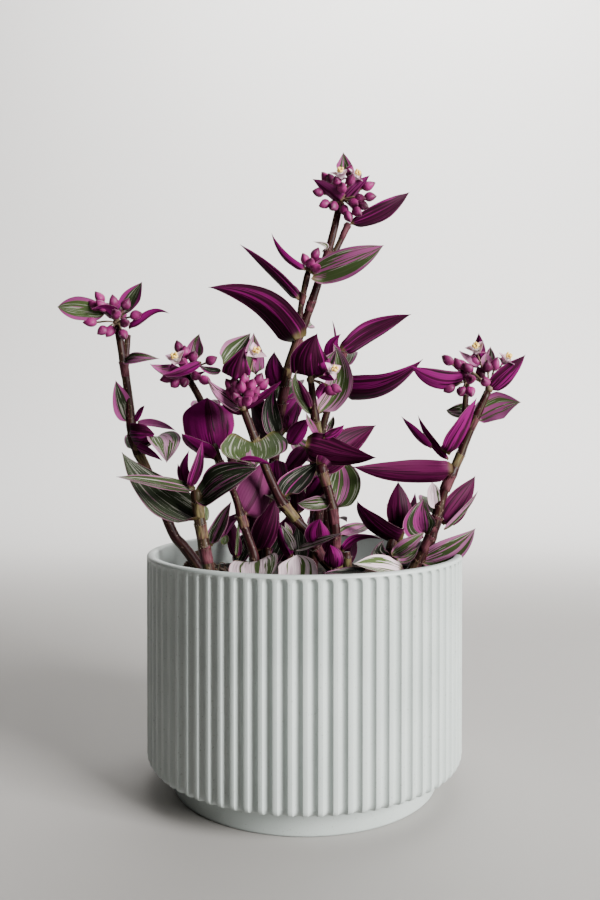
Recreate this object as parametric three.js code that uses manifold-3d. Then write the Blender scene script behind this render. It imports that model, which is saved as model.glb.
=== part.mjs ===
// A potted tradescantia: a fluted ceramic pot, its soil, leafy stems and flower heads.
// Millimetres, +Z up. The origin is the centre of the pot's flat underside, on the pot's axis.
// -Y is the front. Every leaf grows from its stem at a height, and runs to a tip.

import * as THREE from "three";
import { mergeVertices } from "three/addons/utils/BufferGeometryUtils.js";
import Module from "manifold-3d";

const wasm = await Module();
wasm.setup();

// Pot
const potHeight = 130.7;
const bodyRadius = 90;
const footRadius = 76;
const footHeight = 15.3;
const footEdge = 1.2;
const cornerRadius = 4;
const innerRadius = 85.3;
const innerCorner = 10;
const floorThickness = 8;
const lipFillet = 1.4;
const fluteCount = 78;
const fluteDepth = 1.5;
const fluteArch = 2.3;
const fluteSpring = 126.4;
const archLip = 0.2;
// Half a groove's flat bottom, as a share of the pitch from one ridge to the next
const fluteFlat = 0.22;
const wallSides = 48;

// Soil
const soilRadius = 84.7;
const soilHeight = 112;
const soilSides = 24;
const soilRings = [30, 62];
const seatGap = 0.3;
const rootDepth = 14;
// A five-sided hole needs this much more than the gap
const holeSlack = 0.15;
const chipCount = 7;
const chipSize = [9, 5, 2.2];
const chipReach = 74;
const chipTilt = 0.5;
const chipLift = 0.2;

// Plant
const stemSides = 5;
// A side branch is this much thinner than its stem's top, at its foot and at its end
const branchFoot = 0.9;
const branchEnd = 0.8;
const bladeThickness = 0.8;
const bladeFold = 14;
const largeBlade = 24;
const middleBlade = 14;
// A leaf starts inside its stem, this share of the radius out from the middle
const leafStart = 0.4;
const coreRadius = 3;
const rootInCore = 1.2;
const stalkRadius = 0.65;
const budLength = 6.6;
const budWidth = 5;
const budSides = 4;
const petalLength = 5.6;
const petalNotch = 2.4;
const petalRise = 1.6;

// Colours and finishes
const glaze = new THREE.MeshStandardMaterial({ color: 0xbcc4c0, roughness: 0.45, metalness: 0 });
const earth = new THREE.MeshStandardMaterial({ color: 0x3b2a1f, roughness: 0.95, metalness: 0 });
const leafy = new THREE.MeshStandardMaterial({ color: 0x6d1858, roughness: 0.5, metalness: 0 });
const flowery = new THREE.MeshStandardMaterial({ color: 0xc05aa4, roughness: 0.5, metalness: 0 });

// Each stem: its thickness at the foot and at the top, one path or more, and its leaves.
// A leaf says which path it is on, the height of its node, its tip, how wide it is, and which way
// its upper face looks. arch bows its rib to that side, fold lifts its edges, lobe hearts its base.
const stems = [
  {
    name: "stem_tall",
    thick: [3.5, 2.6],
    paths: [
      [[-23, 12, 112], [-20, 10, 160], [-16, 10, 201], [-9, 10, 239], [2, 10, 269], [15, 10, 309], [21, 10, 334]],
      [[10, 10, 291], [20, 14, 310], [26, 15, 323]],
      [[-1, 10, 271], [2, 5, 292]],
    ],
    leaves: [
      { on: 0, at: 253, tip: [-55, -2, 283], wide: 24, face: [0.35, 0.75, 0.6], arch: 4 },
      { on: 0, at: 276, tip: [-38, 10, 310], wide: 10, face: [0.7, 0.15, 0.7], arch: 2 },
      { on: 2, at: 287, tip: [-19, 4, 315], wide: 8, face: [0.75, 0.2, 0.6], arch: -2 },
      { on: 0, at: 299, tip: [45, -8, 306], wide: 21, face: [0, -0.75, 0.7], arch: 2 },
      { on: 0, at: 306, tip: [6, 2, 314], wide: 8, face: [0, -0.5, 0.8], arch: 2 },
      { on: 1, at: 321, tip: [63, 16, 343], wide: 17, face: [-0.4, 0.75, 0.55], arch: -2 },
      { on: 0, at: 237, tip: [-18, 20, 250], wide: 18, face: [0.2, 0.95, 0.2], arch: -2 },
      { on: 0, at: 201, tip: [0, 16, 226], wide: 17, face: [-0.3, 0.9, 0.2], arch: -2 },
      { on: 0, at: 195, tip: [-38, 24, 219], wide: 29, face: [0.3, 0.9, 0.2], arch: -4 },
      { on: 0, at: 190, tip: [4, 5, 208], wide: 17, face: [-0.2, 0.9, 0.3], arch: 2 },
      { on: 0, at: 165, tip: [-32, 44, 178], wide: 22, face: [0.1, -0.3, 0.95], arch: 5 },
      { on: 0, at: 215, tip: [-2, 42, 232], wide: 18, face: [0, -0.4, 0.9], arch: 5 },
      { on: 0, at: 262, tip: [14, 40, 282], wide: 16, face: [0, -0.5, 0.9], arch: 4 },
    ],
  },
  {
    name: "stem_far_left",
    thick: [3.6, 2.6],
    paths: [
      [[-51, -5, 112], [-64, -5, 127], [-76, -5, 139], [-88, -5, 172], [-98, -5, 193], [-100, -5, 212],
        [-103, -5, 234], [-107, -5, 259]],
      [[-103, -5, 232], [-102, -2, 254]],
    ],
    leaves: [
      { on: 0, at: 238, tip: [-82, -17, 240], wide: 13, face: [0.1, -0.35, 1], arch: 5 },
      { on: 0, at: 203, tip: [-106, -15, 229], wide: 13, face: [0.5, -0.8, 0.2], arch: -2 },
      { on: 0, at: 205, tip: [-90, -14, 215], wide: 7, face: [-0.5, 0.5, 0.7], arch: 1 },
      { on: 0, at: 203, tip: [-75, 2, 201], wide: 9, face: [0.1, -0.3, 1], arch: 3 },
      { on: 0, at: 194, tip: [-76, -24, 182], wide: 18, face: [0.6, -0.4, 0.7], arch: 7 },
      { on: 0, at: 186, tip: [-100, 24, 196], wide: 18, face: [0, -0.5, 0.9], arch: 4 },
    ],
  },
  {
    name: "stem_left_middle",
    thick: [2.6, 2.4],
    paths: [
      [[-24, -38, 112], [-27, -38, 132], [-36, -34, 152], [-41, -30, 165], [-49, -24, 185], [-56, -18, 212],
        [-65, -15, 229]],
    ],
    leaves: [
      { on: 0, at: 187, tip: [-69, 0, 214], wide: 29, face: [-0.3, 0.75, -0.45], arch: -13 },
      { on: 0, at: 184, tip: [-65, -42, 197], wide: 14, face: [0.2, 0.6, 0.8], arch: 3 },
      { on: 0, at: 154, tip: [-25, -20, 183], wide: 20, face: [-0.3, 0.9, 0.2], arch: -2 },
      { on: 0, at: 133, tip: [-24, -68, 121], wide: 25, face: [0, -0.45, 0.9], arch: 4, lobe: 4 },
      { on: 0, at: 153, tip: [-46, -16, 137], wide: 12, face: [0, 0, 1], arch: 4 },
      { on: 0, at: 205, tip: [-60, 14, 216], wide: 18, face: [0, -0.4, 0.9], arch: 4 },
    ],
  },
  {
    name: "stem_left_front",
    thick: [3.7, 3.2],
    paths: [
      [[-48, -45, 112], [-51, -45, 129], [-54, -45, 145], [-56, -45, 158], [-57, -45, 167]],
    ],
    leaves: [
      { on: 0, at: 165, tip: [-94, -62, 177], wide: 15, face: [0, -0.4, 0.95], arch: 2 },
      { on: 0, at: 150, tip: [-97, -36, 187], wide: 25, face: [0.3, -0.6, 0.75], arch: -8 },
      { on: 0, at: 161, tip: [-25, -58, 180], wide: 21, face: [-0.3, -0.6, 0.75], arch: 3 },
      { on: 0, at: 138, tip: [-38, -40, 163], wide: 14, face: [-0.6, -0.6, 0.5], arch: -2 },
      { on: 0, at: 152, tip: [-50, -34, 160], wide: 6, face: [-0.6, -0.6, 0.5], arch: 0 },
      { on: 0, at: 165, tip: [-61, -42, 189], wide: 8, face: [0.3, 0.9, 0.2], arch: 0 },
      { on: 0, at: 165, tip: [-68, -40, 181], wide: 8, face: [0.6, 0.7, 0.4], arch: 0 },
      { on: 0, at: 165, tip: [-54, -40, 194], wide: 14, face: [-0.7, 0.6, 0.3], arch: -2 },
    ],
  },
  {
    name: "stem_heart_leaf",
    thick: [3, 2.7],
    paths: [
      [[22, -28, 112], [18, -30, 122], [9, -32, 130], [-5, -35, 149], [-11, -35, 159], [-21, -35, 172],
        [-27, -35, 192], [-32, -35, 208], [-36, -35, 215]],
    ],
    leaves: [
      { on: 0, at: 194, tip: [-18, -74, 181], wide: 36, face: [0, -0.45, 0.9], arch: 7, lobe: 6 },
      { on: 0, at: 161, tip: [4, -10, 187], wide: 17, face: [-0.3, -0.8, 0.55], arch: -2 },
      { on: 0, at: 159, tip: [-24, -8, 161], wide: 14, face: [0, 0, 1], arch: 3 },
      { on: 0, at: 142, tip: [8, -64, 136], wide: 24, face: [-0.3, -0.1, 0.95], arch: 2, lobe: 2 },
      { on: 0, at: 136, tip: [-6, -64, 118], wide: 22, face: [0, -0.75, 0.65], arch: 3, lobe: 3 },
    ],
  },
  {
    name: "stem_centre",
    thick: [3.4, 2.4],
    paths: [
      [[4, 0, 112], [8, 0, 148], [10, 0, 177], [8, -2, 197], [6, -4, 209], [4, -7, 226]],
    ],
    leaves: [
      { on: 0, at: 209, tip: [17, 4, 251], wide: 25, face: [-0.3, -0.9, 0.2], arch: -5 },
      { on: 0, at: 208, tip: [-5, -11, 232], wide: 13, face: [0.6, -0.7, 0.3], arch: -2 },
      { on: 0, at: 170, tip: [-8, 3, 192], wide: 16, face: [0.3, 0.8, 0.4], arch: 0 },
      { on: 0, at: 160, tip: [-16, -8, 171], wide: 17, face: [0.2, 0.8, 0.5], arch: 2 },
    ],
  },
  {
    name: "stem_centre_back",
    thick: [3, 2.2],
    paths: [
      [[16, 22, 112], [13, 22, 158], [11, 20, 196], [14, 20, 212], [19, 20, 228], [24, 20, 247]],
    ],
    leaves: [
      { on: 0, at: 246, tip: [65, 22, 271], wide: 16, face: [-0.35, 0.7, 0.6], arch: 3 },
      { on: 0, at: 226, tip: [71, 14, 244], wide: 16, face: [-0.3, 0.75, 0.6], arch: -3 },
      { on: 0, at: 246, tip: [21, 14, 260], wide: 9, face: [0, 0.9, 0.3], arch: 0 },
      { on: 0, at: 236, tip: [30, 50, 250], wide: 18, face: [0, -0.4, 0.9], arch: 4 },
      { on: 0, at: 180, tip: [34, 52, 190], wide: 20, face: [0, -0.3, 0.95], arch: 5 },
    ],
  },
  {
    name: "stem_centre_right",
    thick: [3.2, 3],
    paths: [
      [[19, -15, 112], [18, -18, 128], [17, -20, 143], [16, -20, 155], [13, -20, 167], [9, -20, 180]],
    ],
    leaves: [
      { on: 0, at: 179, tip: [40, -30, 187], wide: 31, face: [-0.1, 0.75, 0.65], arch: 4, lobe: 6 },
      { on: 0, at: 178, tip: [41, -6, 203], wide: 22, face: [-0.2, 0.9, 0.35], arch: 2 },
      { on: 0, at: 155, tip: [22, 0, 183], wide: 25, face: [-0.1, -0.95, 0.4], arch: 4 },
      { on: 0, at: 141, tip: [37, 4, 146], wide: 15, face: [0, -0.5, 0.85], arch: 3 },
      { on: 0, at: 178, tip: [23, -6, 206], wide: 8, face: [-0.5, -0.6, 0.2], arch: 0 },
      { on: 0, at: 178, tip: [1, -10, 208], wide: 9, face: [0.5, -0.8, 0.2], arch: 0 },
      { on: 0, at: 157, tip: [-5, -15, 158], wide: 14, face: [0, -0.4, 0.9], arch: 3 },
    ],
  },
  {
    name: "stem_right",
    thick: [3.8, 2.5],
    paths: [
      [[57, -12, 112], [63, -12, 122], [72, -12, 138], [73, -12, 152], [79, -12, 170], [87, -10, 181],
        [95, -8, 201], [104, -8, 221]],
      [[92, -8, 197], [91, -10, 208], [92, -11, 225]],
    ],
    leaves: [
      { on: 0, at: 175, tip: [27, -32, 180], wide: 17, face: [0, 0.7, 0.7], arch: 4 },
      { on: 0, at: 174, tip: [100, -2, 219], wide: 17, face: [-0.6, 0.7, 0.4], arch: -2 },
      { on: 0, at: 177, tip: [55, -6, 208], wide: 9, face: [0.6, 0.6, 0.5], arch: -2 },
      { on: 0, at: 177, tip: [67, 0, 209], wide: 8, face: [0.6, 0.7, 0.3], arch: 0 },
      { on: 0, at: 211, tip: [121, -16, 216], wide: 19, face: [-0.3, -0.7, 0.7], arch: -2 },
      { on: 0, at: 207, tip: [82, -2, 212], wide: 10, face: [0, -0.6, 0.8], arch: 2 },
      { on: 0, at: 147, tip: [98, -6, 174], wide: 19, face: [-0.55, 0.7, 0.45], arch: -2 },
      { on: 0, at: 126, tip: [93, -32, 148], wide: 15, face: [-0.3, -0.7, 0.65], arch: 3 },
      { on: 0, at: 139, tip: [55, -22, 152], wide: 19, face: [-0.2, -0.9, 0.4], arch: 2 },
      { on: 0, at: 156, tip: [68, -20, 170], wide: 11, face: [-0.4, -0.8, 0.4], arch: 0 },
      { on: 0, at: 186, tip: [96, 26, 200], wide: 19, face: [0, -0.4, 0.9], arch: 5 },
      { on: 0, at: 150, tip: [78, 28, 156], wide: 20, face: [0, -0.3, 0.95], arch: 6 },
    ],
  },
  {
    name: "stem_right_short",
    thick: [2.8, 2.5],
    paths: [
      [[48, -18, 112], [48, -18, 134], [53, -14, 144]],
    ],
    leaves: [
      { on: 0, at: 135, tip: [28, -26, 161], wide: 15, face: [0.5, 0.6, 0.6], arch: 2 },
      { on: 0, at: 142, tip: [53, -12, 171], wide: 15, face: [0, 0.95, 0.3], arch: -2 },
      { on: 0, at: 142, tip: [64, -2, 166], wide: 11, face: [-0.3, 0.9, 0.2], arch: 0 },
      { on: 0, at: 131, tip: [37, -30, 141], wide: 11, face: [0.2, -0.7, 0.7], arch: 2 },
      { on: 0, at: 128, tip: [62, -34, 142], wide: 15, face: [-0.2, -0.7, 0.7], arch: 3 },
    ],
  },
  {
    name: "shoot_front_purple",
    thick: [2.6, 2.4],
    paths: [
      [[24, -42, 112], [22, -42, 134]],
    ],
    leaves: [
      { on: 0, at: 133, tip: [41, -50, 143], wide: 12, face: [-0.1, 0.5, 0.85], arch: 2 },
      { on: 0, at: 132, tip: [12, -44, 146], wide: 10, face: [0.4, 0.8, 0.3], arch: 0 },
    ],
  },
  {
    name: "shoot_front_striped",
    thick: [2.6, 2.4],
    paths: [
      [[50, -54, 112], [49, -55, 126]],
    ],
    leaves: [
      { on: 0, at: 125, tip: [24, -68, 133], wide: 18, face: [0.1, -0.6, 0.8], arch: 3 },
      { on: 0, at: 119, tip: [40, -36, 128], wide: 12, face: [0, 0, 1], arch: 3 },
    ],
  },
  {
    name: "shoot_centre_left",
    thick: [2.6, 2.2],
    paths: [
      [[-22, -8, 112], [-21, -8, 132]],
    ],
    leaves: [
      { on: 0, at: 130, tip: [-14, -12, 160], wide: 22, face: [-0.2, 0.9, 0.2], arch: -2 },
      { on: 0, at: 126, tip: [-46, -10, 150], wide: 16, face: [0.4, 0.8, 0.4], arch: 0 },
      { on: 0, at: 124, tip: [2, 4, 146], wide: 18, face: [-0.3, 0.8, 0.4], arch: 0 },
    ],
  },
  {
    name: "stem_back_left",
    thick: [3.2, 2.6],
    paths: [
      [[-32, 44, 112], [-34, 50, 145], [-42, 56, 170], [-52, 60, 192]],
    ],
    leaves: [
      { on: 0, at: 140, tip: [-16, 88, 144], wide: 22, face: [0, -0.2, 1], arch: 6 },
      { on: 0, at: 156, tip: [-62, 88, 170], wide: 21, face: [0, -0.2, 1], arch: 5 },
      { on: 0, at: 170, tip: [-24, 94, 186], wide: 21, face: [0, -0.3, 1], arch: 5 },
      { on: 0, at: 182, tip: [-66, 42, 200], wide: 18, face: [0.2, -0.2, 1], arch: 3 },
      { on: 0, at: 190, tip: [-60, 90, 206], wide: 18, face: [0, -0.5, 0.8], arch: 2 },
      { on: 0, at: 190, tip: [-52, 62, 214], wide: 14, face: [0, -0.9, 0.3], arch: -2 },
    ],
  },
  {
    name: "stem_back_middle",
    thick: [3.2, 2.6],
    paths: [
      [[4, 54, 112], [6, 58, 140], [8, 62, 166], [6, 64, 180]],
    ],
    leaves: [
      { on: 0, at: 134, tip: [30, 88, 138], wide: 22, face: [0, -0.2, 1], arch: 6 },
      { on: 0, at: 150, tip: [-18, 96, 160], wide: 20, face: [0, -0.2, 1], arch: 5 },
      { on: 0, at: 164, tip: [30, 94, 176], wide: 20, face: [0, -0.3, 1], arch: 4 },
      { on: 0, at: 178, tip: [-8, 88, 196], wide: 18, face: [0, -0.5, 0.8], arch: 2 },
      { on: 0, at: 178, tip: [12, 60, 200], wide: 13, face: [0, -0.9, 0.3], arch: -2 },
    ],
  },
  {
    name: "stem_back_right",
    thick: [3, 2.6],
    paths: [
      [[50, 42, 112], [58, 46, 132], [62, 48, 150]],
    ],
    leaves: [
      { on: 0, at: 128, tip: [48, 84, 134], wide: 22, face: [0, -0.2, 1], arch: 6 },
      { on: 0, at: 138, tip: [88, 64, 148], wide: 21, face: [0, -0.2, 1], arch: 5 },
      { on: 0, at: 148, tip: [52, 76, 162], wide: 18, face: [0, -0.5, 0.8], arch: 2 },
      { on: 0, at: 148, tip: [66, 44, 168], wide: 13, face: [0, -0.9, 0.3], arch: -2 },
    ],
  },
];

// Each flower head sits on the end of a stem's path. Its bracts, buds and open flowers are given
// from the middle of its core. A flower also says which way it looks.
const heads = [
  {
    name: "flowers_tall",
    stem: "stem_tall",
    on: 0,
    bracts: [
      { tip: [1, 4, 29], wide: 13, face: [0, -0.9, 0.3], arch: -3 },
      { tip: [-18, -10, 10], wide: 10, face: [0.3, -0.5, 0.8], arch: -3 },
      { tip: [17, -6, 14], wide: 10, face: [-0.4, -0.5, 0.8], arch: -3 },
    ],
    buds: [
      [-13, -4, 2], [-8, -6, -5], [17, -2, 5], [15, -4, -1], [10, -6, -5], [-3, -7, 8], [7, 8, 4],
      [-8, 8, 2],
    ],
    flowers: [{ at: [2, -7, 13], look: [0.1, -0.5, 0.9] }],
  },
  {
    name: "flowers_side_shoot",
    stem: "stem_tall",
    on: 2,
    bracts: [],
    buds: [[2, -1, 6], [-3, -3, 1], [4, -3, 1], [0, -4, -3]],
    flowers: [],
  },
  {
    name: "flowers_far_left",
    stem: "stem_far_left",
    on: 0,
    bracts: [
      { tip: [-32, -4, 8], wide: 15, face: [-0.1, -0.6, 0.8], arch: 2 },
      { tip: [12, 10, 24], wide: 13, face: [-0.3, -0.9, 0.4], arch: -2 },
      { tip: [30, -6, 4], wide: 11, face: [-0.2, 0.5, 0.8], arch: 0 },
      { tip: [-9, -14, 7], wide: 10, face: [0.2, 0.5, 0.8], arch: 3 },
    ],
    buds: [
      [-9, 0, 16], [-1, -3, 13], [7, -3, 12], [1, -8, 6], [7, -9, 1], [-13, -5, 1], [-7, -6, -5],
      [3, -7, -7], [-5, 8, 6], [6, 8, 3],
    ],
    flowers: [],
  },
  {
    name: "flowers_left_middle",
    stem: "stem_left_middle",
    on: 0,
    bracts: [
      { tip: [6, 8, 22], wide: 14, face: [-0.2, -0.9, 0.3], arch: -2 },
      { tip: [-18, -20, 3], wide: 13, face: [0, -0.3, 0.95], arch: -4 },
      { tip: [13, -12, 1], wide: 9, face: [0, -0.3, 0.95], arch: -2 },
    ],
    buds: [
      [4, -6, 11], [-2, -9, 6], [15, -7, 8], [-9, -9, -6], [-3, -9, -7], [9, -9, -3], [-6, 8, 5],
    ],
    flowers: [{ at: [-6, -7, 13], look: [-0.3, -0.6, 0.8] }],
  },
  {
    name: "flowers_heart_stem",
    stem: "stem_heart_leaf",
    on: 0,
    bracts: [
      { tip: [-3, 14, 32], wide: 26, face: [0.1, -0.9, 0.3], arch: -5 },
      { tip: [14, 8, 26], wide: 14, face: [-0.4, -0.9, 0.2], arch: -3 },
      { tip: [6, -14, 26], wide: 17, face: [-0.1, 0.9, 0.2], arch: -3 },
      { tip: [25, -11, 7], wide: 10, face: [-0.1, -0.4, 0.9], arch: -3 },
      { tip: [-15, -13, 9], wide: 10, face: [0.2, -0.5, 0.9], arch: -2 },
    ],
    buds: [
      [-1, -9, -1], [4, -10, 3], [8, -9, 6], [13, -5, 10], [-6, -7, 7], [9, 5, 3], [-4, 9, 5],
    ],
    flowers: [{ at: [8, -5, 18], look: [0.5, -0.7, 0.5] }],
  },
  {
    name: "flowers_centre",
    stem: "stem_centre",
    on: 0,
    bracts: [
      { tip: [4, -12, 26], wide: 24, face: [0, 0.9, 0.3], arch: -5 },
      { tip: [15, 8, 18], wide: 13, face: [-0.5, -0.8, 0.2], arch: -3 },
    ],
    buds: [[9, -8, -3], [13, -6, -6], [8, -7, 5], [3, 9, 2]],
    flowers: [{ at: [15, -8, 8], look: [0.6, -0.7, 0.3] }],
  },
  {
    name: "flowers_right",
    stem: "stem_right",
    on: 0,
    bracts: [
      { tip: [-8, 4, 32], wide: 12, face: [0.4, 0.8, 0.2], arch: -2 },
      { tip: [8, 14, 26], wide: 13, face: [-0.3, -0.8, 0.4], arch: -3 },
      { tip: [19, -6, 18], wide: 13, face: [-0.5, 0.6, 0.6], arch: -2 },
    ],
    buds: [
      [-3, -6, 12], [3, -6, 13], [-4, -8, 3], [-12, -5, 11], [-8, 7, 8], [4, 9, 5],
    ],
    flowers: [
      { at: [-11, -3, 21], look: [-0.3, -0.5, 0.8] },
      { at: [6, 1, 20], look: [0.4, -0.4, 0.8] },
    ],
  },
  {
    name: "flowers_right_side",
    stem: "stem_right",
    on: 1,
    bracts: [
      { tip: [-35, -12, 5], wide: 15, face: [0, 0.35, 0.95], arch: -3 },
    ],
    buds: [
      [-14, -5, 12], [-5, -8, -5], [1, -9, -6], [-11, -7, -6], [1, -10, 3], [-4, 8, 5],
    ],
    flowers: [],
  },
];

// Turn a list of corners and faces into a solid.
function solidOf(positions, faces) {
  const geometry = new THREE.BufferGeometry();
  geometry.setAttribute("position", new THREE.Float32BufferAttribute(positions.flat(), 3));
  geometry.setIndex(faces.flat());
  return solidOfGeometry(geometry);
}

function solidOfGeometry(geometry) {
  const plain = geometry.clone();
  plain.deleteAttribute("normal");
  plain.deleteAttribute("uv");
  const merged = mergeVertices(plain, 1e-4);
  return new wasm.Manifold(new wasm.Mesh({
    numProp: 3,
    vertProperties: new Float32Array(merged.attributes.position.array),
    triVerts: new Uint32Array(merged.index.array),
  }));
}

// The largest body of a solid. Loose scraps and sealed hollows are left out.
function mainBody(solid) {
  const bodies = solid.decompose();
  bodies.sort((a, b) => b.volume() - a.volume());
  return bodies[0];
}

function meshOf(name, solid, material) {
  const data = mainBody(solid).getMesh();
  const geometry = new THREE.BufferGeometry();
  geometry.setAttribute("position", new THREE.BufferAttribute(new Float32Array(data.vertProperties), 3));
  geometry.setIndex(new THREE.BufferAttribute(new Uint32Array(data.triVerts), 1));
  geometry.computeVertexNormals();
  const mesh = new THREE.Mesh(geometry, material);
  mesh.name = name;
  return mesh;
}

function joined(solids) {
  return solids.reduce((whole, solid) => whole.add(solid));
}

// A skin over rings of points, closed at both ends by a fan round the first point of the ring.
function solidOfRings(rings) {
  const count = rings[0].length;
  const faces = [];
  for (let row = 0; row + 1 < rings.length; row += 1) {
    for (let i = 0; i < count; i += 1) {
      const a = row * count + i;
      const b = row * count + (i + 1) % count;
      faces.push([a, b, b + count], [a, b + count, a + count]);
    }
  }
  const last = (rings.length - 1) * count;
  for (let i = 1; i + 1 < count; i += 1) {
    faces.push([0, i + 1, i], [last, last + i, last + i + 1]);
  }
  return solidOf(rings.flat(), faces);
}

// A tube along a path, whose radius runs from one end's to the other's.
function tube(path, startRadius, endRadius, sides) {
  const points = path.map((place) => new THREE.Vector3(...place));
  const rings = points.map((point, i) => {
    const before = points[Math.max(i - 1, 0)];
    const after = points[Math.min(i + 1, points.length - 1)];
    const along = after.clone().sub(before).normalize();
    const across = new THREE.Vector3(0, 1, 0).cross(along).normalize();
    const up = along.clone().cross(across);
    const radius = startRadius + (endRadius - startRadius) * i / (points.length - 1);
    return Array.from({ length: sides }, (_, k) => {
      const turn = 2 * Math.PI * k / sides;
      return point.clone()
        .addScaledVector(across, radius * Math.cos(turn))
        .addScaledVector(up, radius * Math.sin(turn))
        .toArray();
    });
  });
  return solidOfRings(rings);
}

// One leaf blade from its base to its tip: a thin plate in two halves along the rib.
// stations hold how far along the blade each cut is, and how wide it is there.
const largeStations = [[0, 0.13], [0.18, 0.86], [0.42, 1], [0.74, 0.58], [1, 0.03]];
const middleStations = [[0, 0.16], [0.28, 1], [0.68, 0.66], [1, 0.04]];
const smallStations = [[0, 0.2], [0.36, 1], [1, 0.05]];
// A heart-shaped base runs this share of the way along its leaf.
const lobeReach = 0.4;

function stationsFor(wide) {
  if (wide >= largeBlade) {
    return largeStations;
  }
  return wide >= middleBlade ? middleStations : smallStations;
}

function blade(base, leaf, stations, skip) {
  const end = new THREE.Vector3(...leaf.tip);
  const start = new THREE.Vector3(...base);
  start.addScaledVector(end.clone().sub(start).normalize(), skip);
  const chord = end.clone().sub(start);
  const faceHint = new THREE.Vector3(...leaf.face);
  const along = chord.clone().normalize();
  const up = faceHint.clone().addScaledVector(along, -faceHint.dot(along)).normalize();
  const fold = THREE.MathUtils.degToRad(bladeFold);
  const half = bladeThickness / Math.cos(fold) / 2;
  const lobe = leaf.lobe ?? 0;
  const rings = stations.map(([part, share]) => {
    const bow = 4 * leaf.arch * part * (1 - part);
    const rib = start.clone().addScaledVector(chord, part).addScaledVector(up, bow);
    const slope = chord.clone().addScaledVector(up, 4 * leaf.arch * (1 - 2 * part)).normalize();
    const normal = up.clone().addScaledVector(slope, -up.dot(slope)).normalize();
    const side = slope.clone().cross(normal);
    const reach = leaf.wide / 2 * share;
    const back = lobe * Math.max(0, 1 - part / lobeReach) ** 2;
    const edge = (sign) => rib.clone()
      .addScaledVector(side, sign * reach * Math.cos(fold))
      .addScaledVector(normal, reach * Math.sin(fold))
      .addScaledVector(slope, -back);
    const row = [edge(-1), rib, edge(1)];
    const upper = row.map((point) => point.clone().addScaledVector(normal, half).toArray());
    const under = row.map((point) => point.clone().addScaledVector(normal, -half).toArray());
    return [upper[0], upper[1], upper[2], under[2], under[1], under[0]];
  });
  return solidOfRings(rings);
}

// The place on a path at a height.
function placeAt(path, height) {
  for (let i = 0; i + 1 < path.length; i += 1) {
    const [a, b] = [path[i], path[i + 1]];
    if (height <= b[2] || i + 2 === path.length) {
      const part = Math.min(1, (height - a[2]) / (b[2] - a[2]));
      return a.map((value, k) => value + (b[k] - value) * part);
    }
  }
  return path[0];
}

// The pot's fluted wall: each flute is a scoop with an arched top, between narrow ridges.
function flutedWall() {
  const cuts = [
    { turn: -0.5, depth: 0, rise: 0 },
    { turn: -fluteFlat, depth: fluteDepth, rise: fluteArch },
    { turn: fluteFlat, depth: fluteDepth, rise: fluteArch },
  ];
  const rings = Array.from({ length: 5 }, () => []);
  for (let flute = 0; flute < fluteCount; flute += 1) {
    for (const cut of cuts) {
      const angle = 2 * Math.PI * (flute + 0.5 + cut.turn) / fluteCount - Math.PI / 2;
      const profile = [
        [bodyRadius - cornerRadius - cut.depth / 2, footHeight],
        [bodyRadius - cut.depth, footHeight + cornerRadius],
        [bodyRadius - cut.depth, fluteSpring + cut.rise - cut.depth],
        [bodyRadius, fluteSpring + cut.rise + archLip],
        [bodyRadius - lipFillet, potHeight],
      ];
      profile.forEach(([radius, height], row) => {
        rings[row].push([radius * Math.cos(angle), radius * Math.sin(angle), height]);
      });
    }
  }
  return solidOfRings(rings);
}

function lathe(profile, sides) {
  const geometry = new THREE.LatheGeometry(profile.map(([r, z]) => new THREE.Vector2(r, z)), sides);
  geometry.rotateX(Math.PI / 2);
  return solidOfGeometry(geometry);
}

function potSolid() {
  const foot = lathe([
    [0, 0],
    [footRadius - footEdge, 0],
    [footRadius, footEdge],
    [footRadius, footHeight + 1],
    [0, footHeight + 1],
  ], wallSides);
  const hollow = lathe([
    [0, floorThickness],
    [footRadius - innerCorner, floorThickness],
    [innerRadius, floorThickness + 2 * innerCorner],
    [innerRadius, potHeight - lipFillet],
    [innerRadius + lipFillet, potHeight],
    [innerRadius + lipFillet, potHeight + 2],
    [0, potHeight + 2],
  ], wallSides);
  return flutedWall().add(foot).subtract(hollow);
}

// The soil's top is uneven, and it is heaped a little at the left.
function soilTop(x, y) {
  const heap = 5 * Math.exp(-((x + 52) ** 2 + (y - 6) ** 2) / 420);
  return soilHeight + heap + 1.1 * Math.sin(x / 9 + 1) * Math.cos(y / 11) + 0.8 * Math.sin((x - y) / 17);
}

function soilSolid() {
  const outline = (radius) => Array.from({ length: soilSides }, (_, k) => {
    const turn = 2 * Math.PI * k / soilSides;
    return [radius * Math.cos(turn), radius * Math.sin(turn)];
  });
  const lowRadius = footRadius - innerCorner - seatGap;
  const low = floorThickness + seatGap;
  const rings = [
    outline(lowRadius).map(([x, y]) => [x, y, low]),
    outline(soilRadius).map(([x, y]) => [x, y, floorThickness + 2 * innerCorner + seatGap]),
    outline(soilRadius).map(([x, y]) => [x, y, soilTop(x, y)]),
  ];
  for (const radius of [...soilRings].reverse()) {
    rings.push(outline(radius).map(([x, y]) => [x, y, soilTop(x, y)]));
  }
  return solidOfRings(rings);
}

// Chips of bark lie sunk in the soil. The draw is seeded, so they lie the same each time.
function seededDraw(seed) {
  let state = seed;
  return () => {
    state = (state * 1664525 + 1013904223) % 4294967296;
    return state / 4294967296;
  };
}

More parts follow.
